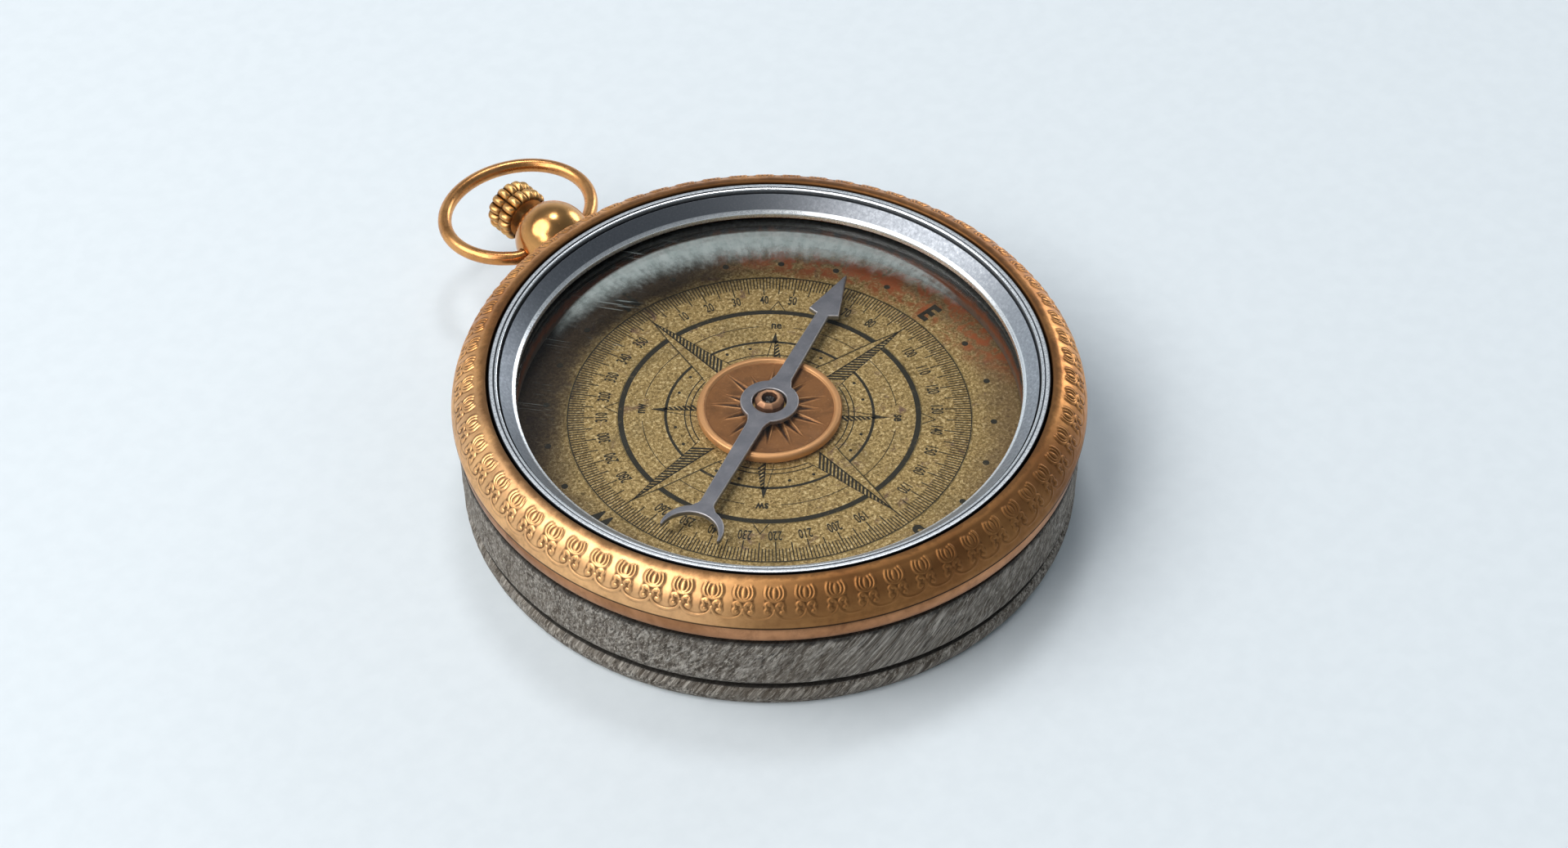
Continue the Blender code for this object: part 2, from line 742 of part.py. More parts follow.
def lever_side_outline():
    """The lever seen from its side, with the pivot at (0, 0) and the outer end along +X."""
    inner = LEVER_INNER_END - LEVER_PIVOT_Y
    outer = LEVER_OUTER_END - LEVER_PIVOT_Y
    half = LEVER_HALF_THICKNESS
    tab_start = outer - 1.0 * MM
    tab_top = LEVER_TAB_TOP - LEVER_PIVOT_Z
    shoulder = math.degrees(math.asin(half / LEVER_BOSS_RADIUS))
    thin = half - 0.06 * MM
    outline = [(outer, -thin), (outer, tab_top), (tab_start, tab_top), (tab_start, thin)]
    outline += arc((0, 0), LEVER_BOSS_RADIUS, shoulder, 180 - shoulder, 9)
    outline += [(inner, thin), (inner, -thin)]
    outline += arc((0, 0), LEVER_BOSS_RADIUS, 180 + shoulder, 360 - shoulder, 9)
    return outline


# ---------------------------------------------------------------- pendant, crown and bow


def make_pendant(stem_way):
    """The pendant ball, its tube, the stem with the crown, and the bow."""

    def ball(work):
        bmesh.ops.create_uvsphere(work, u_segments=32, v_segments=16, radius=PENDANT_RADIUS)

    pendant = mesh_object("pendant", ball, parts, bronze)
    pendant.location = (0, PENDANT_Y, PENDANT_Z)
    case_space = turned(
        "case_space",
        [
            (0, 22 * MM),
            (BEZEL_RADIUS + GAP, 22 * MM),
            (BEZEL_RADIUS + GAP, BEZEL_BOTTOM - 0.15 * MM),
            (BAND_RADIUS + GAP, BEZEL_BOTTOM - 0.15 * MM),
            (BAND_RADIUS + GAP, 2 * MM),
            (0, 2 * MM),
        ],
        cutters,
        closed=False,
    )
    bow_holes = []
    for side, name in ((-1, "bow_hole_left"), (1, "bow_hole_right")):
        bow_holes.append(cylinder(
            name,
            BOW_WIRE_RADIUS + GAP,
            (side * (BOW_PIN_END - GAP), PENDANT_Y, PENDANT_Z),
            (side * 8 * MM, PENDANT_Y, PENDANT_Z),
            cutters,
        ))
    cut(pendant, case_space, stem_way, *bow_holes)

    lay_along_y(
        ring("pendant_tube", TUBE_INNER, TUBE_OUTER, 0, TUBE_END - TUBE_START, parts, brass, SMALL_STEPS), TUBE_START
    )
    cylinder("stem", STEM_RADIUS, (0, STEM_START, PENDANT_Z), (0, STEM_END, PENDANT_Z), parts, steel)
    make_crown()
    make_bow()


def make_crown():
    """The crown, with two rows of beads left between flutes, bored for the stem."""
    length = CROWN_END - CROWN_START
    row = length / 2
    outline = [(0, length)]
    for end in (length, row):
        middle = end - row / 2
        outline += [
            (CROWN_BODY_RADIUS, end - 0.12 * MM),
            (CROWN_BEAD_RADIUS - 0.2 * MM, middle + 0.6 * MM),
            (CROWN_BEAD_RADIUS, middle),
            (CROWN_BEAD_RADIUS - 0.2 * MM, middle - 0.6 * MM),
        ]
    outline += [(CROWN_BODY_RADIUS, 0.12 * MM), (CROWN_BODY_RADIUS - 0.3 * MM, 0), (0, 0)]
    crown = turned("crown", outline, parts, bronze, 2 * CROWN_BEADS, closed=False)
    lay_along_y(crown, CROWN_START)

    def flutes(work):
        flute_radius = 0.55 * MM
        circle = 1.075 * CROWN_BEAD_RADIUS
        for number in range(CROWN_BEADS):
            angle = 2 * math.pi * (number + 0.5) / CROWN_BEADS
            bmesh.ops.create_cone(
                work,
                cap_ends=True,
                segments=8,
                radius1=flute_radius,
                radius2=flute_radius,
                depth=2 * length,
                matrix=Matrix.Translation((circle * math.cos(angle), circle * math.sin(angle), row)),
            )

    flute_cutter = mesh_object("crown_flutes", flutes, cutters)
    lay_along_y(flute_cutter, CROWN_START)
    bore = cylinder(
        "crown_bore", STEM_RADIUS + GAP, (0, CROWN_START - 1 * MM, PENDANT_Z), (0, STEM_END + GAP, PENDANT_Z), cutters
    )
    cut(crown, flute_cutter, bore)


def make_bow():
    """The oval bow: a wire whose ends turn into the two holes of the pendant, its origin on their axis."""
    reach = BOW_CENTRE_Y - PENDANT_Y
    count = 35
    oval = []
    for i in range(count):
        angle = math.radians(-90 + BOW_OPENING + (360 - 2 * BOW_OPENING) * i / (count - 1))
        oval.append((BOW_HALF_WIDTH * math.cos(angle), reach + BOW_HALF_LENGTH * math.sin(angle), 0))
    right_end = [(BOW_PIN_END, 0, 0), (5.6 * MM, 0, 0), (6.5 * MM, 0.3 * MM, 0)]
    left_end = [(-x, y, z) for x, y, z in reversed(right_end)]
    bow = wire("bow", right_end + oval + left_end, BOW_WIRE_RADIUS, 4, parts, bronze)
    bow.location = (0, PENDANT_Y, PENDANT_Z)


# ---------------------------------------------------------------- build

clear_scene()
parts = new_collection("ship_compass")
cutters = new_collection("cutters")

wood = make_material("weathered_wood", (0.25, 0.22, 0.19), 0.8, 0.0)
bronze = make_material("bronze", (0.55, 0.29, 0.13), 0.35, 1.0)
brass = make_material("aged_brass", (0.46, 0.37, 0.18), 0.45, 1.0)
copper = make_material("copper", (0.45, 0.2, 0.1), 0.4, 1.0)
steel = make_material("steel", (0.42, 0.43, 0.45), 0.3, 1.0)
blued_steel = make_material("blued_steel", (0.17, 0.19, 0.22), 0.35, 1.0)
glass = make_material("glass", (0.85, 0.92, 0.92), 0.05, 0.0, alpha=0.25)
leather = make_material("gasket_leather", (0.07, 0.09, 0.09), 0.8, 0.0)
jewel = make_material("jewel", (0.03, 0.02, 0.02), 0.1, 0.0)

case_body, stem_way_cutter = make_case()
make_dial_stack(case_body)
make_needle()
make_lock()
make_pendant(stem_way_cutter)
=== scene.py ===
"""Looks of the ship compass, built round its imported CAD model.

Frame: metres, +Z up, the needle's axis on Z. The dial's north is +Y and its east is +X. An angle is measured
from east towards north, unless it is called a bearing, which runs clockwise from north.
"""

import itertools
import math

import bmesh
import bpy
import numpy as np
from mathutils import Matrix, Vector, noise


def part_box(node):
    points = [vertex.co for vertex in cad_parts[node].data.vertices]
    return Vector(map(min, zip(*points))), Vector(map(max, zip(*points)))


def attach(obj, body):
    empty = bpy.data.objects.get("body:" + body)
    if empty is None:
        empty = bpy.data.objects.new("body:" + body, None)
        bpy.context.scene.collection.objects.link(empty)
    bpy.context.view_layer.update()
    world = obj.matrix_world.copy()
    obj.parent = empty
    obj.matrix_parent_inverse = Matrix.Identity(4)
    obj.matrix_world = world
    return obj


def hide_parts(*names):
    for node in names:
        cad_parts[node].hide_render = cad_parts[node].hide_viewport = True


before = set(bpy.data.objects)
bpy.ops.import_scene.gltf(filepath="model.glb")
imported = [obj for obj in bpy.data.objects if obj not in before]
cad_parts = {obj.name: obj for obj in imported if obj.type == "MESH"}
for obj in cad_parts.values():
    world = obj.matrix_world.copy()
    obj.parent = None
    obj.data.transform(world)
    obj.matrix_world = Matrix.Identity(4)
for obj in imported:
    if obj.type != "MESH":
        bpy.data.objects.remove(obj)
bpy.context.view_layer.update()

MM = 0.001
TURN = 2 * math.pi

# Sizes read from the frame
DIAL_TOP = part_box("dial_plate")[1].z
DIAL_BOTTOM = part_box("dial_plate")[0].z
DIAL_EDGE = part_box("dial_plate")[1].x
BASE_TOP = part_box("base_plate")[1].z
BODY_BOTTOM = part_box("case_body")[0].z
BODY_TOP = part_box("case_body")[1].z
BAND_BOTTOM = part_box("case_band")[0].z
BAND_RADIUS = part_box("case_band")[1].x
COLLAR_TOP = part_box("case_band")[1].z
BEZEL_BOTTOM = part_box("bezel")[0].z
BEZEL_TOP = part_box("bezel")[1].z
BEZEL_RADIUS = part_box("bezel")[1].x
STEEL_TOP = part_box("steel_ring")[1].z
STEEL_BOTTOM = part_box("steel_ring")[0].z
STEEL_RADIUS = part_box("steel_ring")[1].x
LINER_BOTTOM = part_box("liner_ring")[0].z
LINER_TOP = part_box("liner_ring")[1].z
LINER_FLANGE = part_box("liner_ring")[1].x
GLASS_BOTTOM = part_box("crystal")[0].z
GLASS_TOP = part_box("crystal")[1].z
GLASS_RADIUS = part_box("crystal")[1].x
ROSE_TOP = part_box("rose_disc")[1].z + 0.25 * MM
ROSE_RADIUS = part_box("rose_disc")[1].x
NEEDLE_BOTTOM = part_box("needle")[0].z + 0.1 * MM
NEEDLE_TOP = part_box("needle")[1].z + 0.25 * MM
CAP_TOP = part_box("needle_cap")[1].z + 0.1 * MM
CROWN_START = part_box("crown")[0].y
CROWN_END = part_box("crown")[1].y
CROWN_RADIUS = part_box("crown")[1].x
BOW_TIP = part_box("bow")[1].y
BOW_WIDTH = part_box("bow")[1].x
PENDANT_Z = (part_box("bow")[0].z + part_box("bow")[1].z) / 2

# Sizes that the frame's boxes don't give
SCALE_RADIUS = 26.92 * MM
BODY_RADIUS = 41.4 * MM
BODY_BORE = 32.1 * MM
BODY_POCKET = 34.7 * MM
BODY_SHELF = 9.1 * MM
BASE_BEAD = 40.3 * MM
BASE_SCREW_CIRCLE = 38.6 * MM
BASE_SCREW_HOLE = 1.45 * MM
COLLAR_INNER = 37.3 * MM
COLLAR_OUTER = 38.5 * MM
SEAM = BEZEL_BOTTOM - 0.15 * MM
BEZEL_CREST = 37.33 * MM
BEZEL_BORE = 37.2 * MM
STEEL_WINDOW = 33.4 * MM
STEEL_SKIRT = 35.6 * MM
SPANNER_HOLE = (-31.3 * MM, 17.2 * MM)
LINER_INNER = 33.6 * MM
LINER_OUTER = 34.4 * MM
GASKET_BORE = 33.8 * MM
DIAL_HOLE = 3.7 * MM
ROSE_HUB = 3.4 * MM
ROSE_BORE = 2.6 * MM
NEEDLE_ANGLE = math.radians(25)
PENDANT_Y = 45.6 * MM
PENDANT_RADIUS = 5.4 * MM
STEM_HOLE = 2.0 * MM
BOW_HOLE = 1.08 * MM
CROWN_DRUM = 3.0 * MM
CROWN_BEAD = 0.95 * MM
WIRE_RADIUS = 0.97 * MM

# Radii of the steel ring's turned edges, in millimetres
CONE_START = 33.72
CONE_END = 35.45
GROOVE_START = 35.50
GROOVE_END = 35.66
LOW_BEAD_START = 35.74
LOW_BEAD_END = 36.08
CHANNEL = 36.16
HIGH_BEAD_START = 36.26

# The bezel's border, in millimetres along its face
MOTIFS = 66
MOTIF_PITCH = 3.78
BORDER_START = 0.9
BORDER_END = 6.5
BORDER_FADE = 0.5
BORDER_SINK = 0.07

# Colours that several places share
BRONZE = (0.56, 0.225, 0.070)
GOLD = (0.90, 0.44, 0.15)
HIGHLIGHT_GOLD = (0.95, 0.62, 0.33)
PATINA = (0.10, 0.048, 0.020)


# ---- meshes


def soften(mesh, sharp=35):
    """Shade a mesh smooth, but for edges where its faces meet at more than that many degrees."""
    mesh.shade_smooth()
    mesh.set_sharp_from_angle(angle=math.radians(sharp))
    return mesh


def surface(name, points, faces, sharp=35):
    """A mesh of points and faces, shaded smooth."""
    mesh = bpy.data.meshes.new(name)
    mesh.from_pydata(np.asarray(points, float).tolist(), [], faces)
    return soften(mesh, sharp)


def grid_faces(rows, columns, wrap_rows):
    """Quads of a grid of points whose columns go round, and whose rows do too if wrap_rows is true."""
    row = np.arange(rows if wrap_rows else rows - 1)[:, None]
    column = np.arange(columns)[None, :]
    below = (row + 1) % rows
    beside = (column + 1) % columns
    corners = [
        row * columns + column,
        below * columns + column,
        below * columns + beside,
        row * columns + beside,
    ]
    return np.stack([c.ravel() for c in corners], 1).tolist()


def revolve(name, outline, steps, closed=True, lift=None, sharp=35):
    """A turned mesh from an outline of (radius, height) points that runs down its outer side."""
    outline = np.asarray(outline, float)
    angles = np.arange(steps) * TURN / steps
    radius = np.repeat(outline[:, :1], steps, 1)
    height = np.repeat(outline[:, 1:], steps, 1)
    if lift is not None:
        radius, height = lift(radius, height, angles)
    points = np.stack([radius * np.cos(angles), radius * np.sin(angles), height], -1).reshape(-1, 3)
    mesh = surface(name, points, grid_faces(len(outline), steps, closed), sharp)
    if not closed:
        weld(mesh)
    return mesh


def weld(mesh):
    """Merge the points that lie together, and turn every face outwards."""
    work = bmesh.new()
    work.from_mesh(mesh)
    bmesh.ops.remove_doubles(work, verts=work.verts, dist=1e-7)
    bmesh.ops.recalc_face_normals(work, faces=work.faces)
    work.to_mesh(mesh)
    work.free()


def rounded(outline, radius, steps=4, closed=True):
    """The outline with each corner replaced by a short curve of about that radius."""
    count = len(outline)
    result = []
    for i, corner in enumerate(outline):
        corner = Vector(corner)
        if not closed and i in (0, count - 1):
            result.append(tuple(corner))
            continue
        before = Vector(outline[i - 1]) - corner
        after = Vector(outline[(i + 1) % count]) - corner
        reach = min(radius, 0.45 * before.length, 0.45 * after.length)
        start = corner + before.normalized() * reach
        end = corner + after.normalized() * reach
        for k in range(steps + 1):
            t = k / steps
            result.append(tuple(start.lerp(corner, t).lerp(corner.lerp(end, t), t)))
    return result


def smooth_path(points, per_span=8):
    """Points along a Catmull-Rom curve through the given ones."""
    points = [np.asarray(p, float) for p in points]
    points = [2 * points[0] - points[1]] + points + [2 * points[-1] - points[-2]]
    path = []
    for i in range(1, len(points) - 2):
        a, b, c, d = points[i - 1 : i + 3]
        for k in range(per_span):
            t = k / per_span
            path.append(0.5 * (2 * b + (c - a) * t + (2 * a - 5 * b + 4 * c - d) * t**2
                               + (3 * b - a - 3 * c + d) * t**3))
    path.append(points[-2])
    return np.array(path)


def tube(name, path, radius, sides=20):
    """A round wire along a path of points in space, closed at both ends."""
    path = np.asarray(path, float)
    along = np.gradient(path, axis=0)
    along /= np.linalg.norm(along, axis=1)[:, None]
    up = np.array([0.0, 0.0, 1.0])
    side = np.cross(along, up)
    side /= np.linalg.norm(side, axis=1)[:, None]
    up = np.cross(side, along)
    angles = np.arange(sides) * TURN / sides
    ring = np.cos(angles)[None, :, None] * side[:, None, :] + np.sin(angles)[None, :, None] * up[:, None, :]
    points = (path[:, None, :] + radius * ring).reshape(-1, 3)
    faces = grid_faces(len(path), sides, False)
    faces.append(list(range(sides))[::-1])
    faces.append([(len(path) - 1) * sides + i for i in range(sides)])
    mesh = surface(name, points, faces)
    weld(mesh)
    return mesh


def prisms(name, strips, bottom, top):
    """Flat marks on the dial. Each strip is two lines of points (x, y), its left and its right edge."""
    points = []
    faces = []
    for left, right in strips:
        first = len(points)
        count = len(left)
        for height in (bottom, top):
            points += [(x, y, height) for x, y in left]
            points += [(x, y, height) for x, y in right]
        for i in range(count - 1):
            l0, l1, r0, r1 = first + i, first + i + 1, first + count + i, first + count + i + 1
            up = 2 * count
            faces += [
                (l0, l1, r1, r0),
                (l0 + up, r0 + up, r1 + up, l1 + up),
                (l0, l0 + up, l1 + up, l1),
                (r0, r1, r1 + up, r0 + up),
            ]
        last = first + count - 1
        faces += [
            (first, first + count, first + 3 * count, first + 2 * count),
            (last, last + 2 * count, last + 3 * count, last + count),
        ]
    mesh = surface(name, points, faces)
    weld(mesh)
    return mesh


def placed(name, data):
    """A new object in the scene."""
    item = bpy.data.objects.new(name, data)
    bpy.context.scene.collection.objects.link(item)
    return item


def finished(work, name):
    """A bmesh as a mesh. The bmesh is freed."""
    mesh = bpy.data.meshes.new(name)
    work.to_mesh(mesh)
    work.free()
    return mesh


def evaluated_mesh(item):
    """The mesh that an object has after its modifiers, in the frame's coordinates. The object is removed."""
    bpy.context.view_layer.update()
    mesh = bpy.data.meshes.new_from_object(item.evaluated_get(bpy.context.evaluated_depsgraph_get()))
    mesh.transform(item.matrix_world)
    mesh.materials.clear()
    bpy.data.objects.remove(item, do_unlink=True)
    return mesh


def difference(mesh, tools):
    """The mesh less each tool mesh."""
    item = placed("cut", mesh)
    helpers = [placed("tool", tool) for tool in tools]
    for helper in helpers:
        boolean = item.modifiers.new("cut", "BOOLEAN")
        boolean.operation = "DIFFERENCE"
        boolean.object = helper
    result = evaluated_mesh(item)
    for helper in helpers:
        bpy.data.objects.remove(helper, do_unlink=True)
    return soften(result)


def joined(name, meshes):
    """One mesh that holds all of these."""
    work = bmesh.new()
    for mesh in meshes:
        work.from_mesh(mesh)
    return soften(finished(work, name))


def rod(radius, start, end, steps=48):
    """A plain cylinder between two points, for cutting."""
    start, end = Vector(start), Vector(end)
    turn = Vector((0, 0, 1)).rotation_difference(end - start).to_matrix().to_4x4()
    work = bmesh.new()
    bmesh.ops.create_cone(
        work,
        cap_ends=True,
        segments=steps,
        radius1=radius,
        radius2=radius,
        depth=(end - start).length,
        matrix=Matrix.Translation((start + end) / 2) @ turn,
    )
    return finished(work, "rod")


def paint(mesh, name, values, domain="POINT"):
    """Store a number for each point or face of a mesh, for its material to read."""
    layer = mesh.attributes.new(name, "FLOAT", domain)
    layer.data.foreach_set("value", np.asarray(values, np.float32).ravel())


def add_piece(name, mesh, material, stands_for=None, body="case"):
    """Put a finished mesh in the scene, on its body and in its material slot."""
    mesh.name = name
    piece = placed(name, mesh)
    mesh.materials.clear()
    mesh.materials.append(material)
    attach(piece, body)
    if stands_for:
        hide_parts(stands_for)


# ---- shader helpers


class Recipe:
    """A material whose nodes are added one call at a time. Every call returns an output socket."""

    def __init__(self, name):
        self.material = bpy.data.materials.new(name)
        self.material.use_nodes = True
        self.nodes = self.material.node_tree.nodes
        self.links = self.material.node_tree.links
        self.place = self.nodes.new("ShaderNodeTexCoord").outputs["Object"]

    def feed(self, socket, value):
        if isinstance(value, bpy.types.NodeSocket):
            self.links.new(value, socket)
        elif isinstance(value, tuple) and len(value) == 3 and socket.type == "RGBA":
            socket.default_value = (*value, 1.0)
        else:
            socket.default_value = value

    def fill(self, node, **values):
        """Set a node's sockets by name, such as Base_Color, from values or other sockets."""
        for name, value in values.items():
            self.feed(node.inputs[name.replace("_", " ")], value)
        return node

    def node(self, kind, **values):
        return self.fill(self.nodes.new(kind), **values)

    def set(self, **values):
        """Set sockets of the shader itself."""
        self.fill(self.nodes["Principled BSDF"], **values)

    def in_order(self, kind, *values):
        """A new node whose first sockets are set in turn. Returns its outputs."""
        node = self.nodes.new(kind)
        for socket, value in zip(node.inputs, values):
            self.feed(socket, value)
        return tuple(node.outputs)

    def math(self, operation, a, b=0.0):
        node = self.nodes.new("ShaderNodeMath")
        node.operation = operation
        self.feed(node.inputs[0], a)
        self.feed(node.inputs[1], b)
        return node.outputs[0]

    def product(self, first, *others):
        for other in others:
            first = self.math("MULTIPLY", first, other)
        return first

    def most(self, first, *others):
        for other in others:
            first = self.math("MAXIMUM", first, other)
        return first

    def height(self):
        """Height above the table, in metres."""
        return self.in_order("ShaderNodeSeparateXYZ", self.place)[2]

    def toward(self, x_share, y_share):
        """How far the place lies in a level direction, in millimetres."""
        x, y, _ = self.in_order("ShaderNodeSeparateXYZ", self.place)
        x_part = self.math("MULTIPLY", x, x_share / MM)
        return self.math("ADD", x_part, self.math("MULTIPLY", y, y_share / MM))

    def radius(self, centre=(0.0, 0.0)):
        """Distance from an upright axis, in millimetres, as the axis is."""
        x = self.math("SUBTRACT", self.toward(1, 0), centre[0])
        y = self.math("SUBTRACT", self.toward(0, 1), centre[1])
        return self.math("SQRT", self.math("ADD", self.math("MULTIPLY", x, x), self.math("MULTIPLY", y, y)))

    def turned_place(self, scale_around, scale_out, scale_up):
        """Coordinates that run round the object, outwards and up, for marks left by turning."""
        around = self.math("ARCTAN2", self.toward(0, 1), self.toward(1, 0))
        outwards = self.math("MULTIPLY", self.radius(), scale_out * MM)
        # The seam at half a turn is hidden by running the angle as a place on a circle.
        return self.in_order(
            "ShaderNodeCombineXYZ",
            self.math("MULTIPLY", self.math("COSINE", around), scale_around),
            self.math("MULTIPLY", self.math("SINE", around), scale_around),
            self.math("ADD", outwards, self.math("MULTIPLY", self.height(), scale_up)),
        )[0]

    def stretched(self, angle, along, across, up, tilt=0.0):
        """The place turned by an angle about Z, tipped up by a tilt, and scaled, in repeats a metre."""
        node = self.nodes.new("ShaderNodeMapping")
        node.vector_type = "TEXTURE"
        self.feed(node.inputs["Vector"], self.place)
        node.inputs["Rotation"].default_value = (0, -tilt, angle)
        node.inputs["Scale"].default_value = (1 / along, 1 / across, 1 / up)
        return node.outputs[0]

    def noise(self, scale, detail=4.0, rough=0.55, distortion=0.0, vector=None):
        vector = self.place if vector is None else vector
        node = self.node("ShaderNodeTexNoise", Vector=vector, Scale=scale, Detail=detail)
        self.fill(node, Roughness=rough, Distortion=distortion)
        return node.outputs["Fac"]

    def cells(self, scale):
        """Distance from the nearest of many scattered points."""
        return self.node("ShaderNodeTexVoronoi", Vector=self.place, Scale=scale).outputs["Distance"]

    def ramp(self, value, *stops):
        """A colour that depends on a value. Each stop is (value, colour)."""
        node = self.nodes.new("ShaderNodeValToRGB")
        self.feed(node.inputs[0], value)
        set_stops(node, stops)
        return node.outputs[0]

    def spread(self, value, low, high, to_low=0.0, to_high=1.0, smooth=True):
        """The value's share of the way from low to high, clamped, and mapped to another span."""
        node = self.node("ShaderNodeMapRange", Value=value, From_Min=low, From_Max=high)
        self.fill(node, To_Min=to_low, To_Max=to_high)
        node.interpolation_type = "SMOOTHSTEP" if smooth else "LINEAR"
        return node.outputs["Result"]

    def band(self, value, start, full, fade, end):
        """One where the value is between full and fade, nothing before start and past end."""
        return self.math("MULTIPLY", self.spread(value, start, full), self.spread(value, fade, end, 1.0, 0.0))

    def strayed(self, value, noise, reach):
        """The value moved by a noise, half the reach either way, so that an edge drawn from it is ragged."""
        return self.math("ADD", value, self.math("MULTIPLY", self.math("SUBTRACT", noise, 0.5), reach))

    def mix(self, share, a, b):
        """The colour that lies the share's way from a to b."""
        node = self.nodes.new("ShaderNodeMix")
        node.data_type = "RGBA"
        self.feed(node.inputs["Factor"], share)
        self.feed(node.inputs[6], a)
        self.feed(node.inputs[7], b)
        return node.outputs[2]

    def attribute(self, name):
        node = self.nodes.new("ShaderNodeAttribute")
        node.attribute_name = name
        return node.outputs["Fac"]

    def bump(self, height, depth, strength=1.0):
        return self.node("ShaderNodeBump", Height=height, Distance=depth, Strength=strength).outputs[0]


def set_stops(node, stops):
    """Give a colour ramp its (value, colour) stops."""
    elements = node.color_ramp.elements
    while len(elements) < len(stops):
        elements.new(1.0)
    for element, (at_value, colour) in zip(elements, stops):
        element.position = at_value
        element.color = (*colour, 1.0)


# ---- materials


def bronze_material(name, base, patina, glow, shine=0.24, dull=0.45, seam=False, relief=False, bezel=False):
    """Warm bronze with a high polish and a brown patina in patches, and in the hollows of its relief if it
    has one. Painted light and shade go on the bezel and along a seam.
    """
    m = Recipe(name)
    cloud = m.noise(70, 5, 0.6, 0.4)
    fine = m.noise(900, 4, 0.6)
    colour = m.mix(m.spread(cloud, 0.35, 0.68), base, glow)
    stain = m.spread(m.noise(160, 6, 0.7, 0.6), 0.52, 0.72, 0.0, dull)
    if bezel:
        # The bezel is browner near its bore. It is darker at the south, a painted dark reflection, and paler
        # at the west, a painted highlight.
        inner = m.strayed(m.radius(), m.noise(420, 5, 0.7), 1.9)
        bore = BEZEL_BORE / MM
        south = m.math("ADD", m.toward(-0.1, -1.0), m.math("MULTIPLY", cloud, 9))
        by_bore = m.spread(inner, bore + 0.3, bore + 1.7, 0.85, 0.0)
        stain = m.most(stain, by_bore, m.spread(south, 30, 41, 0.0, 0.68))
        colour = m.mix(m.spread(m.toward(-1, 0), 20, 38, 0.0, 0.5), colour, HIGHLIGHT_GOLD)
    if relief:
        stain = m.most(stain, m.spread(m.attribute("cavity"), 0.15, 1.0, 0.0, 0.85))
        colour = m.mix(m.spread(m.attribute("relief"), 0.4, 1.0, 0.0, 0.35), colour, glow)
    colour = m.mix(stain, colour, patina)
    colour = m.mix(m.spread(fine, 0.35, 0.75, 0.0, 0.22), colour, patina)
    if seam:
        # Painted shade: a nearly black line along the seam between bezel and band, where the gap between the
        # parts lies in shade.
        from_seam = m.math("ABSOLUTE", m.math("SUBTRACT", m.height(), SEAM))
        colour = m.mix(m.spread(from_seam, 0.30 * MM, 0.48 * MM, 0.9, 0.0), colour, (0.012, 0.007, 0.005))
    rough = m.math("ADD", m.spread(cloud, 0.3, 0.7, shine, shine + 0.1), m.math("MULTIPLY", stain, 0.22))
    rough = m.math("ADD", rough, m.spread(fine, 0.3, 0.8, 0.0, 0.1))
    pits = m.math("ADD", m.math("MULTIPLY", fine, 0.5), m.noise(2600, 3, 0.6))
    m.set(Base_Color=colour, Metallic=1.0, Roughness=rough, Normal=m.bump(pits, 0.012 * MM, 0.5))
    return m.material


def wood_material():
    """Weathered grey-brown wood whose grain runs along one direction of the case."""
    m = Recipe("weathered_wood")
    grain, tilt = math.radians(-20), 0.9
    streak = m.noise(1.0, 6, 0.7, 0.6, m.stretched(grain, 75, 1500, 1300, tilt))
    hair = m.noise(1.0, 3, 0.7, 0.3, m.stretched(grain, 210, 3900, 3400, tilt))
    colour = m.ramp(
        streak,
        (0.28, (0.030, 0.022, 0.016)),
        (0.42, (0.100, 0.080, 0.062)),
        (0.54, (0.200, 0.176, 0.150)),
        (0.68, (0.400, 0.365, 0.320)),
    )
    colour = m.mix(m.spread(hair, 0.53, 0.66, 0.0, 0.75), colour, (0.50, 0.455, 0.395))
    colour = m.mix(m.spread(hair, 0.47, 0.36, 0.0, 0.8), colour, (0.018, 0.014, 0.011))
    colour = m.mix(m.spread(m.noise(90, 4, 0.6), 0.4, 0.7, 0.0, 0.35), colour, (0.13, 0.105, 0.08))
    height = m.height()
    ragged = m.strayed(height, m.noise(700, 4, 0.7), 1.6 * MM)
    # Painted shade: the wood is nearly black in a ragged band under the band's lip, where the lip casts its
    # shadow, and in the recess just above where the body meets the base.
    lip_shadow = m.spread(ragged, BODY_TOP - 0.75 * MM, BODY_TOP - 0.05 * MM, 0.0, 0.85)
    above_joint = m.spread(ragged, BODY_BOTTOM + 1.0 * MM, BODY_BOTTOM, 0.0, 0.9)
    joint_shade = m.product(above_joint, m.spread(height, BASE_TOP - 0.5 * MM, BASE_TOP))
    colour = m.mix(m.most(lip_shadow, joint_shade), colour, (0.012, 0.010, 0.008))
    grooves = m.math("ADD", m.math("MULTIPLY", streak, 0.7), m.math("MULTIPLY", hair, 0.5))
    m.set(Base_Color=colour, Roughness=m.spread(streak, 0.3, 0.7, 0.85, 0.62), Specular_IOR_Level=0.3)
    m.set(Normal=m.bump(grooves, 0.16 * MM, 0.9))
    return m.material


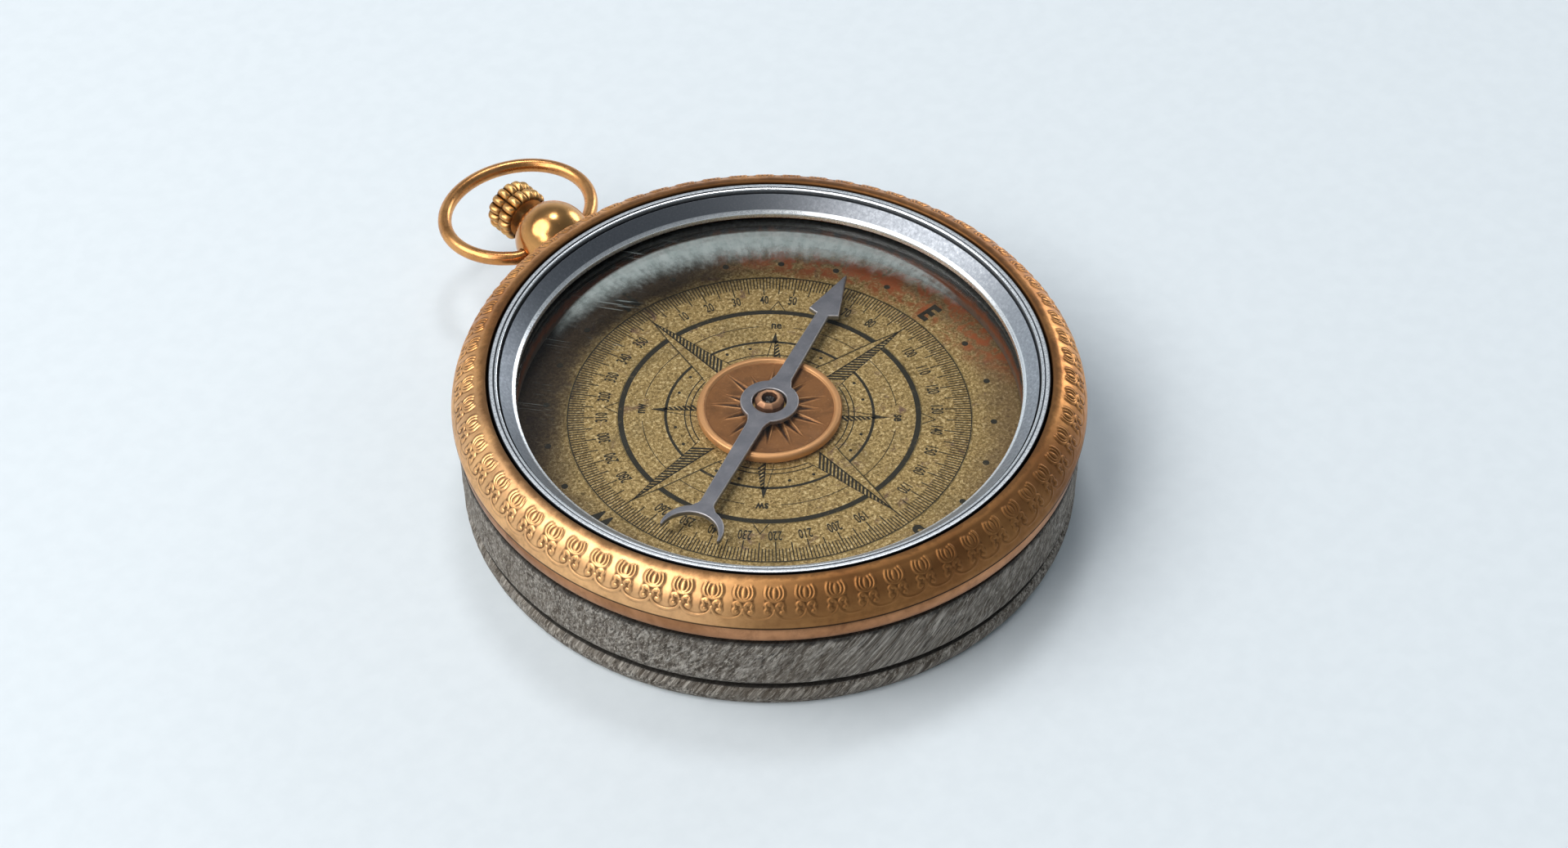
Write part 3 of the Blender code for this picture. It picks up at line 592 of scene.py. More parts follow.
def steel_ring_material():
    """Speckled steel that darkens towards north as a painted dark reflection, with painted highlights as
    bright edges at the beads and at the window, and painted shade in its groove, its channel and at its outer
    rim.
    """
    m = Recipe("ring_steel")
    radius = m.radius()
    brushed = m.noise(1.0, 4, 0.7, 0.0, m.turned_place(30, 9000, 0))
    speck = m.noise(2300, 4, 0.75)
    colour = m.ramp(
        speck,
        (0.30, (0.27, 0.29, 0.325)),
        (0.55, (0.40, 0.425, 0.465)),
        (0.78, (0.66, 0.68, 0.72)),
    )
    # Painted dark reflection: the steel darkens towards north.
    colour = m.mix(m.spread(m.toward(0, 1), -24, 26, 0.0, 0.66), colour, (0.075, 0.082, 0.095))
    outer = STEEL_RADIUS / MM
    # Painted highlights: bright bands at the window's edge and along both beads, which are also made a little
    # smoother.
    window = m.spread(radius, CONE_START + 0.08, CONE_START + 0.18, 1.0, 0.0)
    rise, fall = LOW_BEAD_START - 0.02, LOW_BEAD_END + 0.02
    low_bead = m.band(radius, rise, rise + 0.08, fall - 0.08, fall)
    high_bead = m.band(radius, HIGH_BEAD_START + 0.02, HIGH_BEAD_START + 0.10, outer - 0.20, outer - 0.14)
    polish_and_highlight = m.product(m.most(window, low_bead, high_bead), m.spread(brushed, 0.25, 0.6, 0.88, 1.0))
    colour = m.mix(polish_and_highlight, colour, (0.92, 0.94, 0.96))
    # Painted shade: nearly black in the groove, in the channel between the beads and at the outer rim beside
    # the bezel.
    groove = m.band(radius, CONE_END - 0.03, CONE_END + 0.03, GROOVE_END - 0.04, GROOVE_END + 0.08)
    channel = m.product(m.band(radius, CHANNEL - 0.10, CHANNEL - 0.02, CHANNEL + 0.08, CHANNEL + 0.16), 0.7)
    rim = m.spread(radius, outer - 0.16, outer - 0.10)
    colour = m.mix(m.most(groove, channel, rim), colour, (0.02, 0.022, 0.026))
    scratches = m.noise(1.0, 2, 0.5, 0.0, m.stretched(0.6, 260, 7000, 7000))
    colour = m.mix(m.spread(scratches, 0.72, 0.78, 0.0, 0.4), colour, (0.6, 0.62, 0.65))
    rough = m.math("SUBTRACT", m.spread(speck, 0.3, 0.7, 0.46, 0.36), m.math("MULTIPLY", polish_and_highlight, 0.12))
    marks = m.math("ADD", m.math("MULTIPLY", speck, 0.8), m.math("MULTIPLY", brushed, 0.4))
    m.set(Base_Color=colour, Metallic=0.95, Roughness=rough, Normal=m.bump(marks, 0.012 * MM, 0.4))
    return m.material


def dial_material():
    """Matt grained brass leaf with bright flecks and purple stains, and a brown, partly rusty margin."""
    m = Recipe("dial_brass")
    fleck = m.noise(2300, 5, 0.75, 0.6)
    cloud = m.noise(95, 5, 0.62, 0.5)
    colour = m.ramp(
        fleck,
        (0.34, (0.120, 0.080, 0.026)),
        (0.45, (0.350, 0.250, 0.085)),
        (0.54, (0.570, 0.425, 0.165)),
        (0.64, (1.000, 0.860, 0.480)),
    )
    colour = m.mix(m.spread(cloud, 0.50, 0.74, 0.0, 0.5), colour, (0.190, 0.145, 0.048))
    colour = m.mix(m.spread(cloud, 0.46, 0.25, 0.0, 0.35), colour, (0.36, 0.25, 0.09))
    stain = m.spread(m.noise(260, 5, 0.7, 1.0), 0.57, 0.70, 0.0, 0.75)
    colour = m.mix(m.product(stain, m.spread(m.noise(45, 2), 0.36, 0.55)), colour, (0.150, 0.075, 0.080))
    wander = m.strayed(m.radius(), m.noise(260, 5, 0.7), 6)
    colour = m.mix(m.spread(wander, 27, 32, 0.0, 0.62), colour, (0.130, 0.085, 0.045))
    shaded = m.product(m.spread(m.toward(-0.28, 0.96), 14, 25), m.spread(wander, 23.5, 29, 0.0, 0.85))
    colour = m.mix(shaded, colour, (0.020, 0.012, 0.009))
    rust = m.product(
        m.spread(m.toward(0.95, 0.3), 20, 27),
        m.spread(wander, 26, 29.5),
        m.spread(m.noise(330, 5, 0.7, 0.8), 0.40, 0.58),
    )
    colour = m.mix(rust, colour, (0.42, 0.12, 0.035))
    grain = m.math("ADD", fleck, m.math("MULTIPLY", m.noise(3600, 4, 0.7), 0.5))
    m.set(Base_Color=colour, Metallic=0.3, Roughness=m.spread(fleck, 0.35, 0.7, 0.6, 0.42))
    m.set(Normal=m.bump(grain, 0.07 * MM, 0.9))
    return m.material


def engraving_material():
    """Dark filling of the dial's lines, thin in places so that brass shows."""
    m = Recipe("engraving")
    worn = m.noise(1100, 4, 0.7)
    colour = m.mix(m.spread(worn, 0.56, 0.74, 0.0, 0.75), (0.022, 0.022, 0.012), (0.16, 0.12, 0.05))
    m.set(Base_Color=colour, Metallic=0.2, Roughness=m.spread(worn, 0.3, 0.7, 0.6, 0.45))
    m.set(Normal=m.bump(worn, 0.02 * MM, 0.6))
    return m.material


def bright_line_material():
    """Painted highlight: the bright line beside an engraved line, where the cut edge catches the light."""
    m = Recipe("edge_highlight")
    worn = m.noise(1300, 4, 0.7)
    colour = m.mix(m.spread(worn, 0.35, 0.7), (0.16, 0.115, 0.04), (0.50, 0.40, 0.17))
    m.set(Base_Color=colour, Metallic=0.8, Roughness=0.38, Normal=m.bump(worn, 0.02 * MM, 0.5))
    return m.material


def copper_material(name, field, rim):
    """Brown oxidised copper that is brighter on its raised edges."""
    m = Recipe(name)
    height = m.attribute("relief")
    cloud = m.noise(260, 5, 0.65, 0.6)
    fine = m.noise(2400, 4, 0.65)
    colour = m.mix(m.spread(cloud, 0.35, 0.7), field, tuple(0.55 * c for c in field))
    colour = m.mix(m.spread(height, 0.05, 0.9), colour, rim)
    colour = m.mix(m.spread(height, -0.15, -0.8, 0.0, 0.85), colour, (0.022, 0.012, 0.008))
    colour = m.mix(m.spread(fine, 0.55, 0.8, 0.0, 0.35), colour, rim)
    m.set(Base_Color=colour, Metallic=0.55, Roughness=m.spread(cloud, 0.3, 0.7, 0.34, 0.5))
    m.set(Normal=m.bump(m.math("ADD", fine, cloud), 0.02 * MM, 0.6))
    return m.material


def needle_material():
    """Blue-grey steel with fine pitting, bright where its edges are bevelled."""
    m = Recipe("needle_steel")
    pit = m.noise(2100, 5, 0.75)
    colour = m.mix(m.spread(m.noise(420, 4, 0.6), 0.35, 0.7), (0.230, 0.250, 0.290), (0.310, 0.330, 0.370))
    colour = m.mix(m.spread(pit, 0.58, 0.8, 0.0, 0.5), colour, (0.42, 0.43, 0.46))
    colour = m.mix(m.spread(pit, 0.40, 0.25, 0.0, 0.6), colour, (0.035, 0.038, 0.045))
    edge = m.product(m.attribute("bevel"), m.spread(pit, 0.3, 0.6, 0.6, 1.0))
    colour = m.mix(edge, colour, (0.60, 0.62, 0.66))
    scratch = m.noise(1.0, 2, 0.5, 0.0, m.stretched(1.1, 300, 9000, 9000))
    colour = m.mix(m.spread(scratch, 0.74, 0.79, 0.0, 0.5), colour, (0.5, 0.52, 0.56))
    m.set(Base_Color=colour, Metallic=0.9, Roughness=m.spread(pit, 0.3, 0.7, 0.36, 0.5))
    m.set(Normal=m.bump(pit, 0.02 * MM, 0.6))
    return m.material


def plain_metal(name, colour, rough):
    """Metal of a piece that is mostly hidden: turned marks, stains and a little pitting."""
    m = Recipe(name)
    marks = m.noise(1.0, 3, 0.6, 0.0, m.turned_place(12, 6000, 6000))
    stain = m.noise(300, 5, 0.65, 0.5)
    dark = tuple(0.45 * c for c in colour)
    tone = m.mix(m.spread(stain, 0.45, 0.75, 0.0, 0.7), colour, dark)
    tone = m.mix(m.spread(m.noise(1200, 3), 0.6, 0.8, 0.0, 0.4), tone, dark)
    m.set(Base_Color=tone, Metallic=1.0, Roughness=m.spread(stain, 0.3, 0.7, rough, rough + 0.15))
    m.set(Normal=m.bump(marks, 0.015 * MM, 0.4))
    return m.material


def liner_material():
    """Copper wall from dial to glass: grey-brown at its foot, rust above, nearly black at its top."""
    m = Recipe("liner_copper")
    streak = m.noise(1.0, 4, 0.65, 0.3, m.turned_place(26, 0, 260))
    ragged = m.strayed(m.height(), streak, 1.6 * MM)
    colour = m.ramp(
        m.spread(ragged, LINER_BOTTOM, LINER_TOP, smooth=False),
        (0.0, (0.16, 0.15, 0.13)),
        (0.35, (0.20, 0.13, 0.09)),
        (0.55, (0.26, 0.085, 0.028)),
        (0.85, (0.13, 0.05, 0.022)),
        (1.0, (0.035, 0.040, 0.038)),
    )
    colour = m.mix(m.spread(m.noise(500, 4, 0.7), 0.5, 0.75, 0.0, 0.6), colour, (0.05, 0.035, 0.026))
    m.set(Base_Color=colour, Metallic=0.3, Roughness=0.6, Normal=m.bump(streak, 0.05 * MM, 0.5))
    return m.material


def gasket_material():
    m = Recipe("gasket_leather")
    fibre = m.noise(1700, 5, 0.7)
    colour = m.mix(m.spread(fibre, 0.35, 0.7), (0.020, 0.024, 0.024), (0.065, 0.078, 0.078))
    m.set(Base_Color=colour, Roughness=0.8)
    m.set(Normal=m.bump(m.math("ADD", fibre, m.cells(2600)), 0.05 * MM, 0.6))
    return m.material


def glass_material():
    """Clear crystal with a hazy grey-green patch to the north-east that is partly a painted reflection,
    scratches to the north and a little dust.
    """
    m = Recipe("crystal_glass")
    streak = m.noise(1.0, 5, 0.7, 0.2, m.turned_place(24, 210, 0))
    fine = m.noise(900, 4, 0.7)
    patch_angle = math.radians(52)
    patch_centre = (-5.0, -7.6)
    # The grey-green patch to the north-east is partly a film on the glass and partly a painted reflection of
    # something bright.
    inner = m.strayed(m.strayed(m.radius(patch_centre), streak, 2.6), fine, 2.2)
    haze_and_reflection = m.product(
        m.spread(inner, 34.4, 37.6),
        m.spread(m.radius(), 30.6, 31.2, 1.0, 0.0),
        m.spread(m.toward(math.cos(patch_angle), math.sin(patch_angle)), 10, 21),
        m.spread(fine, 0.25, 0.6, 0.45, 0.66),
    )
    scratch = m.noise(1.0, 1.5, 0.4, 1.4, m.stretched(2.2, 90, 2600, 1))
    scratch = m.product(m.spread(scratch, 0.70, 0.73, 0.0, 0.3), m.spread(m.toward(-0.34, 0.94), 17, 25))
    dust = m.spread(m.noise(240, 5, 0.7), 0.5, 0.9, 0.0, 0.035)
    m.set(Base_Color=m.mix(m.spread(streak, 0.3, 0.7), (0.30, 0.36, 0.35), (0.42, 0.47, 0.46)), Roughness=0.6)

    clear = m.node("ShaderNodeBsdfTransparent", Color=(0.940, 0.922, 0.912))
    gloss = m.node("ShaderNodeBsdfGlossy", Roughness=0.03)
    # Facing is the same seen from either side, so light that enters at a low angle isn't turned back.
    facing = m.node("ShaderNodeLayerWeight", Blend=0.5).outputs["Facing"]
    shine = m.math("ADD", m.math("MULTIPLY", m.math("POWER", facing, 5.0), 0.9), 0.02)
    sheen = m.in_order("ShaderNodeMixShader", shine, clear.outputs[0], gloss.outputs[0])[0]
    film = m.nodes["Principled BSDF"].outputs[0]
    glass = m.in_order("ShaderNodeMixShader", m.most(haze_and_reflection, scratch, dust), sheen, film)[0]
    m.links.new(glass, m.nodes["Material Output"].inputs["Surface"])
    return m.material


def jewel_material():
    m = Recipe("dark_stone")
    crack = m.cells(2600)
    m.set(Base_Color=m.mix(m.spread(crack, 0.1, 0.5), (0.03, 0.022, 0.018), (0.004, 0.003, 0.003)))
    m.set(Roughness=0.12, Normal=m.bump(crack, 0.12 * MM, 0.8))
    return m.material


def floor_material():
    m = Recipe("pale_floor")
    fine = m.noise(350, 3, 0.5)
    colour = m.mix(m.spread(fine, 0.3, 0.7), (0.71, 0.765, 0.805), (0.73, 0.785, 0.825))
    m.set(Base_Color=colour, Roughness=0.6, Normal=m.bump(fine, 0.02 * MM, 0.15))
    m.set(Specular_IOR_Level=0.25)
    return m.material


# ---- bezel


def ridge(x, s, path, width, height):
    """Height at (x, s) of a rounded ridge along a path, all in millimetres of the bezel's face."""
    path = smooth_path(path, 6)
    best = np.full(x.shape, 1e9)
    for a, b in zip(path[:-1], path[1:]):
        span = b - a
        t = np.clip(((x - a[0]) * span[0] + (s - a[1]) * span[1]) / (span @ span + 1e-12), 0, 1)
        best = np.minimum(best, np.hypot(x - a[0] - t * span[0], s - a[1] - t * span[1]))
    return height * np.exp(-((best / width) ** 2) * 1.2)


def dome(x, s, centre, half_width, half_height, height):
    share = ((x - centre[0]) / half_width) ** 2 + ((s - centre[1]) / half_height) ** 2
    return height * np.sqrt(np.clip(1 - share, 0, 1))


def motif(x, s):
    """One repeat of the border: a tulip over a pair of curls, with a garland to each neighbour.

    x is the distance from its middle and s the distance down the bezel's face from the bore.
    """
    x = np.abs(x)
    inner_petal = [(0.10, 3.22), (0.48, 2.98), (0.68, 2.50), (0.64, 2.05), (0.50, 1.68)]
    outer_petal = [(0.20, 3.42), (0.84, 3.14), (1.13, 2.60), (1.10, 2.02), (0.92, 1.55)]
    curl = [(0.22, 4.02), (0.38, 3.70), (0.74, 3.52), (1.08, 3.78)]
    curl += [(0.96, 4.22), (1.14, 4.62), (1.02, 4.98), (0.72, 4.86)]
    garland = [(0.0, 4.50), (0.18, 5.00), (0.60, 5.45), (1.20, 5.72), (1.90, 5.80)]
    shapes = [
        dome(x, s, (0, 2.48), 0.33, 0.78, 0.14),
        ridge(x, s, inner_petal, 0.15, 0.12),
        ridge(x, s, outer_petal, 0.16, 0.13),
        dome(x, s, (0, 3.42), 0.20, 0.18, 0.12),
        dome(x, s, (0.62, 3.74), 0.34, 0.30, 0.13),
        ridge(x, s, curl, 0.16, 0.12),
        dome(x, s, (0.84, 4.78), 0.24, 0.24, 0.11),
        ridge(x, s, garland, 0.12, 0.08),
    ]
    return np.maximum.reduce(shapes)


def bezel_profile(rows):
    """Radii and heights down the bezel's outer face at even spacing, its normals, and the distances."""
    angles = np.radians(np.linspace(88, 0, 600))
    power = 2 / 1.8
    radius = BEZEL_CREST + (BEZEL_RADIUS - BEZEL_CREST) * np.cos(angles) ** power
    height = BEZEL_BOTTOM + (BEZEL_TOP - BEZEL_BOTTOM) * np.sin(angles) ** power
    distance = np.concatenate([[0], np.cumsum(np.hypot(np.diff(radius), np.diff(height)))])
    even = np.linspace(0, distance[-1], rows)
    radius = np.interp(even, distance, radius)
    height = np.interp(even, distance, height)
    along_r = np.gradient(radius)
    along_z = np.gradient(height)
    length = np.hypot(along_r, along_z)
    return radius, height, -along_z / length, along_r / length, even


def make_bezel():
    rows = 84
    per_motif = 44
    steps = MOTIFS * per_motif
    radius, height, normal_r, normal_z, distance = bezel_profile(rows)
    roof = COLLAR_TOP + 0.4 * MM
    inner_side = [
        (BEZEL_RADIUS - 0.12 * MM, BEZEL_BOTTOM),
        (COLLAR_OUTER + 0.3 * MM, BEZEL_BOTTOM),
        (COLLAR_OUTER + 0.3 * MM, roof),
        (BEZEL_BORE, roof),
        (BEZEL_BORE, BEZEL_TOP - 0.3 * MM),
        (BEZEL_BORE + 0.06 * MM, BEZEL_TOP - 0.1 * MM),
    ]
    outline = np.concatenate([np.stack([radius, height], 1), np.array(inner_side)])
    down = distance / MM
    around = np.arange(per_motif) / per_motif * MOTIF_PITCH
    around = np.where(around > MOTIF_PITCH / 2, around - MOTIF_PITCH, around)
    relief = np.zeros((len(outline), steps))
    relief[:rows] = np.tile(motif(*np.meshgrid(around, down)), (1, MOTIFS))
    fade_in = np.clip((down - BORDER_START) / BORDER_FADE, 0, 1)
    sunk = BORDER_SINK * fade_in * np.clip((BORDER_END - down) / BORDER_FADE, 0, 1)

    def emboss(radii, heights, _):
        depth = (relief[:rows] - sunk[:, None]) * MM
        radii[:rows] += depth * normal_r[:, None]
        heights[:rows] += depth * normal_z[:, None]
        return radii, heights

    mesh = revolve("bezel_embossed", outline, steps, lift=emboss, sharp=50)
    row_shifts = range(-4, 5)
    step_shifts = range(-5, 6)
    blurred = sum(np.roll(relief, shift, (0, 1)) for shift in itertools.product(row_shifts, step_shifts))
    blurred /= len(row_shifts) * len(step_shifts)
    paint(mesh, "relief", relief / 0.125)
    paint(mesh, "cavity", (blurred - relief) / 0.035)
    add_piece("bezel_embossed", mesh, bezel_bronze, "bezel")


# ---- case, ring and glass


def wood_lift(depth):
    """Fibres of the wood, as small changes of radius that are long in the grain's direction."""
    grain = math.radians(-42)

    def lift(radius, height, angles):
        outer_rows = np.nonzero(radius[:, 0] > 37 * MM)[0]
        for i in outer_rows:
            for k, angle in enumerate(angles):
                x, y = radius[i, k] * math.cos(angle), radius[i, k] * math.sin(angle)
                along = x * math.cos(grain) + y * math.sin(grain)
                across = -x * math.sin(grain) + y * math.cos(grain)
                radius[i, k] += depth * noise.noise(Vector((along * 90, across * 900, height[i, k] * 650)))
        return radius, height

    return lift


def make_case():
    steps = 1080
    body = [(BODY_RADIUS - 0.15 * MM, BODY_TOP), (BODY_RADIUS, BODY_TOP - 0.35 * MM)]
    body += [(BODY_RADIUS - 0.02 * MM, BODY_TOP - step * 0.45 * MM) for step in range(2, 16)]
    body += [
        (BODY_RADIUS - 0.10 * MM, BODY_BOTTOM + 1.0 * MM),
        (BODY_RADIUS - 0.30 * MM, BODY_BOTTOM + 0.6 * MM),
        (BODY_RADIUS - 0.55 * MM, BODY_BOTTOM + 0.25 * MM),
        (BODY_RADIUS - 0.90 * MM, BODY_BOTTOM),
        (BODY_BORE, BODY_BOTTOM),
        (BODY_BORE, BODY_SHELF),
        (BODY_POCKET, BODY_SHELF),
        (BODY_POCKET, BODY_TOP),
    ]
    mesh = revolve("wooden_body", body, steps, lift=wood_lift(0.07 * MM))
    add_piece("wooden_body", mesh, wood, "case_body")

    flat = 30 * MM
    base = [(0, BASE_TOP), (flat, BASE_TOP), (BASE_BEAD + 0.4 * MM, BASE_TOP)]
    base.append((BASE_BEAD + 0.65 * MM, BASE_TOP - 0.1 * MM))
    for degrees in range(60, -61, -12):
        angle = math.radians(degrees)
        base.append((BASE_BEAD + 1.02 * MM * math.cos(angle), 1.65 * MM + 1.5 * MM * math.sin(angle)))
    base += [(BASE_BEAD + 0.45 * MM, 0.12 * MM), (BASE_BEAD + 0.25 * MM, 0), (flat, 0), (0, 0)]
    plate = revolve("wooden_base", base, steps, closed=False, lift=wood_lift(0.06 * MM))
    holes = []
    for degrees in CORNERS:
        x = BASE_SCREW_CIRCLE * math.cos(math.radians(degrees))
        y = BASE_SCREW_CIRCLE * math.sin(math.radians(degrees))
        holes.append(rod(BASE_SCREW_HOLE, (x, y, -1 * MM), (x, y, 0.75 * MM)))
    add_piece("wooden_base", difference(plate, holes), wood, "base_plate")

    lip_top = BEZEL_BOTTOM - 0.3 * MM
    band = [
        (COLLAR_OUTER, COLLAR_TOP),
        (COLLAR_OUTER, lip_top),
        (BAND_RADIUS, lip_top),
        (BAND_RADIUS, BAND_BOTTOM),
        (COLLAR_INNER, BAND_BOTTOM),
        (COLLAR_INNER, COLLAR_TOP),
    ]
    mesh = revolve("band_lip", rounded(band, 1.3 * MM, 10), 512)
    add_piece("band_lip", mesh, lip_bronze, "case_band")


def make_steel_ring():
    """The glazing ring: a cone down to the window, a groove, and two beads with a channel between them."""
    foot = GLASS_TOP + 0.3 * MM
    ring = [
        (STEEL_RADIUS, STEEL_TOP),
        (STEEL_RADIUS, STEEL_BOTTOM),
        (STEEL_SKIRT, STEEL_BOTTOM),
        (STEEL_SKIRT, foot),
        (STEEL_WINDOW, foot),
        (STEEL_WINDOW, 17.62 * MM),
        (CONE_START * MM, 17.80 * MM),
        (CONE_END * MM, 19.47 * MM),
        (GROOVE_START * MM, 19.30 * MM),
        (GROOVE_END * MM, 19.30 * MM),
        (LOW_BEAD_START * MM, STEEL_TOP - 0.08 * MM),
        (LOW_BEAD_END * MM, STEEL_TOP - 0.02 * MM),
        (CHANNEL * MM, STEEL_TOP - 0.16 * MM),
        (HIGH_BEAD_START * MM, STEEL_TOP),
    ]
    mesh = revolve("steel_ring_turned", rounded(ring, 0.16 * MM, 5), 512)
    hole = rod(0.16 * MM, (*SPANNER_HOLE, 18.0 * MM), (*SPANNER_HOLE, 21 * MM), 16)
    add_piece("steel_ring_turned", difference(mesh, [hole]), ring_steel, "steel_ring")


def make_glass():
    glass = [(0, GLASS_TOP), (GLASS_RADIUS, GLASS_TOP), (GLASS_RADIUS, GLASS_BOTTOM), (0, GLASS_BOTTOM)]
    mesh = revolve("crystal_disc", rounded(glass, 0.25 * MM, 4, closed=False), 256, closed=False)
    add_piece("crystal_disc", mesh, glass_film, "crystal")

    flange_bottom = LINER_TOP - 0.6 * MM
    liner = [
        (LINER_FLANGE, LINER_TOP),
        (LINER_FLANGE, flange_bottom),
        (LINER_OUTER, flange_bottom),
        (LINER_OUTER, LINER_BOTTOM),
        (LINER_INNER, LINER_BOTTOM),
        (LINER_INNER, LINER_TOP),
    ]
    mesh = revolve("liner_wall", rounded(liner, 0.15 * MM, 3), 360)
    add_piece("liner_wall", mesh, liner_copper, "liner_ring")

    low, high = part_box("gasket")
    washer = [(high.x, high.z), (high.x, low.z), (GASKET_BORE, low.z), (GASKET_BORE, high.z)]
    mesh = revolve("gasket_washer", rounded(washer, 0.12 * MM, 3), 360)
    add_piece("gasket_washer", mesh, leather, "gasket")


# ---- dial

CARDINALS = (0, 90, 180, 270)
CORNERS = (45, 135, 225, 315)
WINDS = ("ne", "se", "sw", "nw")

# Half-widths of the rays at radii from the middle, in scale radii, as all sizes on the dial are
CARDINAL_RAY = [(0.39, 0.088), (0.45, 0.074), (0.634, 0.047), (0.735, 0.031), (0.885, 0.0)]
CORNER_RAY = [(0.357, 0.042), (0.525, 0.014), (0.584, 0.0)]
HATCH_PITCH = 0.0257
HATCH_STRIPE = 0.0150
# Ring lines: radius, width, and the half-width of the ray that each stops at
DARK_RINGS = [(0.7375, 0.027, 0.031), (0.515, 0.014, 0.066), (0.42, 0.0055, 0.082), (0.392, 0.0055, 0.088)]
BRIGHT_RING = (0.7545, 0.005, 0.031)
WIND_RING = 0.631
WIND_GAPS = [(4.6, 37), (53, 85.4)]
INNER_DOTS = 0.474
OUTER_DOTS = 1.11
# Each kind of figure: radius, height, width as a share of the font's, and thickening
DEGREE_FIGURES = (0.829, 0.059, 0.54, 0.0012)
WIND_FIGURES = (0.640, 0.052, 0.75, 0.002)
LETTERS = (1.092, 0.118, 0.72, 0.007)


def at(radius, bearing, across=0.0):
    """A point on the dial at a radius and bearing, moved sideways to the clockwise side, in scale radii."""
    angle = math.radians(bearing)
    out = (math.sin(angle), math.cos(angle))
    clockwise = (math.cos(angle), -math.sin(angle))
    return (
        SCALE_RADIUS * (radius * out[0] + across * clockwise[0]),
        SCALE_RADIUS * (radius * out[1] + across * clockwise[1]),
    )


def radial_mark(inner, outer, bearing, width):
    return (
        [at(inner, bearing, -width / 2), at(outer, bearing, -width / 2)],
        [at(inner, bearing, width / 2), at(outer, bearing, width / 2)],
    )


def arc_band(radius, width, start, end):
    """A curved line of that width between two bearings."""
    count = max(2, int(abs(end - start) / 1.5) + 1)
    bearings = np.linspace(start, end, count)
    return (
        [at(radius - width / 2, b) for b in bearings],
        [at(radius + width / 2, b) for b in bearings],
    )


def line_band(points, width):
    """A line of that width through dial points, given as (radius, bearing, across)."""
    spots = np.array([at(*p) for p in points])
    along = np.gradient(spots, axis=0)
    along /= np.linalg.norm(along, axis=1)[:, None]
    side = np.stack([along[:, 1], -along[:, 0]], 1) * width * SCALE_RADIUS / 2
    return (spots - side).tolist(), (spots + side).tolist()


def disc(radius, bearing, size, steps=20):
    """A round dot as one strip from its lowest point to its highest."""
    x, y = at(radius, bearing)
    angles = np.linspace(-math.pi / 2, math.pi / 2, steps // 2 + 1)
    reach = size * SCALE_RADIUS
    left = [(x - reach * math.cos(a), y + reach * math.sin(a)) for a in angles]
    right = [(x + reach * math.cos(a), y + reach * math.sin(a)) for a in angles]
    return left, right


def ray_width(ray, radius):
    return float(np.interp(radius, [r for r, _ in ray], [w for _, w in ray]))


def hatched_half(ray, bearing, start, end):
    """Stripes at 45 degrees that fill the clockwise half of a ray."""
    strips = []
    inner = start
    while inner < end:
        corners = []
        for foot in (inner, inner + HATCH_STRIPE):
            reach = 0.0
            # Each round brings the stripe's outer end closer to the ray's edge.
            for _ in range(12):
                reach = ray_width(ray, foot + reach)
            corners.append((at(foot, bearing), at(foot + reach, bearing, reach)))
        strips.append(([corners[0][0], corners[0][1]], [corners[1][0], corners[1][1]]))
        inner += HATCH_PITCH
    return strips


def ring_with_gaps(radius, width, gap_across):
    """A ring line that stops short of each cardinal ray by the ray's half-width there."""
    gap = math.degrees(math.asin(gap_across / radius))
    return [arc_band(radius, width, bearing + gap, bearing + 90 - gap) for bearing in CARDINALS]


def degree_scale():
    strips = [arc_band(1.0, 0.0055, 0, 360)]
    for degree in range(360):
        if degree % 90 == 0:
            continue
        if degree % 10 == 0:
            inner = 0.870
        elif degree % 5 == 0:
            inner = 0.878
        else:
            inner = 0.918
        width = 0.0056 if degree % 5 == 0 else 0.0050
        strips.append(radial_mark(inner, 0.998, degree, width))
    return strips


def cardinal_marks(cardinal):
    """(dark strips, painted highlight strips) of one long ray, with the dots and ring lines that follow it.
    """
    dark = [arc_band(WIND_RING, 0.0035, cardinal + start, cardinal + end) for start, end in WIND_GAPS]
    dark += [disc(INNER_DOTS, cardinal + offset, 0.0086, 12) for offset in (15, 30, 60, 75)]
    dark += [disc(OUTER_DOTS, cardinal + offset, 0.0165, 24) for offset in (15, 30, 45, 60, 75)]
    dark += hatched_half(CARDINAL_RAY, cardinal, 0.365, 0.86)
    dark.append(line_band([(r, cardinal, -w) for r, w in CARDINAL_RAY], 0.0042))
    dark.append(line_band([(r, cardinal, w) for r, w in CARDINAL_RAY], 0.0035))
    dark.append(radial_mark(0.365, 1.0, cardinal, 0.0065))
    return dark, [line_band([(r, cardinal, -w - 0.005) for r, w in CARDINAL_RAY], 0.003)]


def corner_marks(corner):
    """Dark strips of one short ray and of the chevron outside the heavy ring."""
    dark = []
    for side in (-1, 1):
        chevron = [(0.752, corner, side * 0.0385), (0.787, corner, side * 0.019), (0.822, corner, 0)]
        dark.append(line_band(chevron, 0.004))
    dark += hatched_half(CORNER_RAY, corner, 0.345, 0.52)
    dark.append(line_band([(r, corner, -w) for r, w in CORNER_RAY], 0.0035))
    dark.append(radial_mark(0.357, 0.53, corner, 0.005))
    tip = at(0.59, corner)
    dark.append(([at(0.518, corner, -0.0125), tip], [at(0.518, corner, 0.0125), tip]))
    return dark


def dial_marks():
    """(dark strips, painted highlight strips) of everything engraved on the dial but its figures."""
    dark = degree_scale()
    bright = [arc_band(1.006, 0.004, 0, 360)] + ring_with_gaps(*BRIGHT_RING)
    for ring in DARK_RINGS:
        dark += ring_with_gaps(*ring)
    for cardinal in CARDINALS:
        more_dark, more_bright = cardinal_marks(cardinal)
        dark += more_dark
        bright += more_bright
    for corner in CORNERS:
        dark += corner_marks(corner)
    return dark, bright


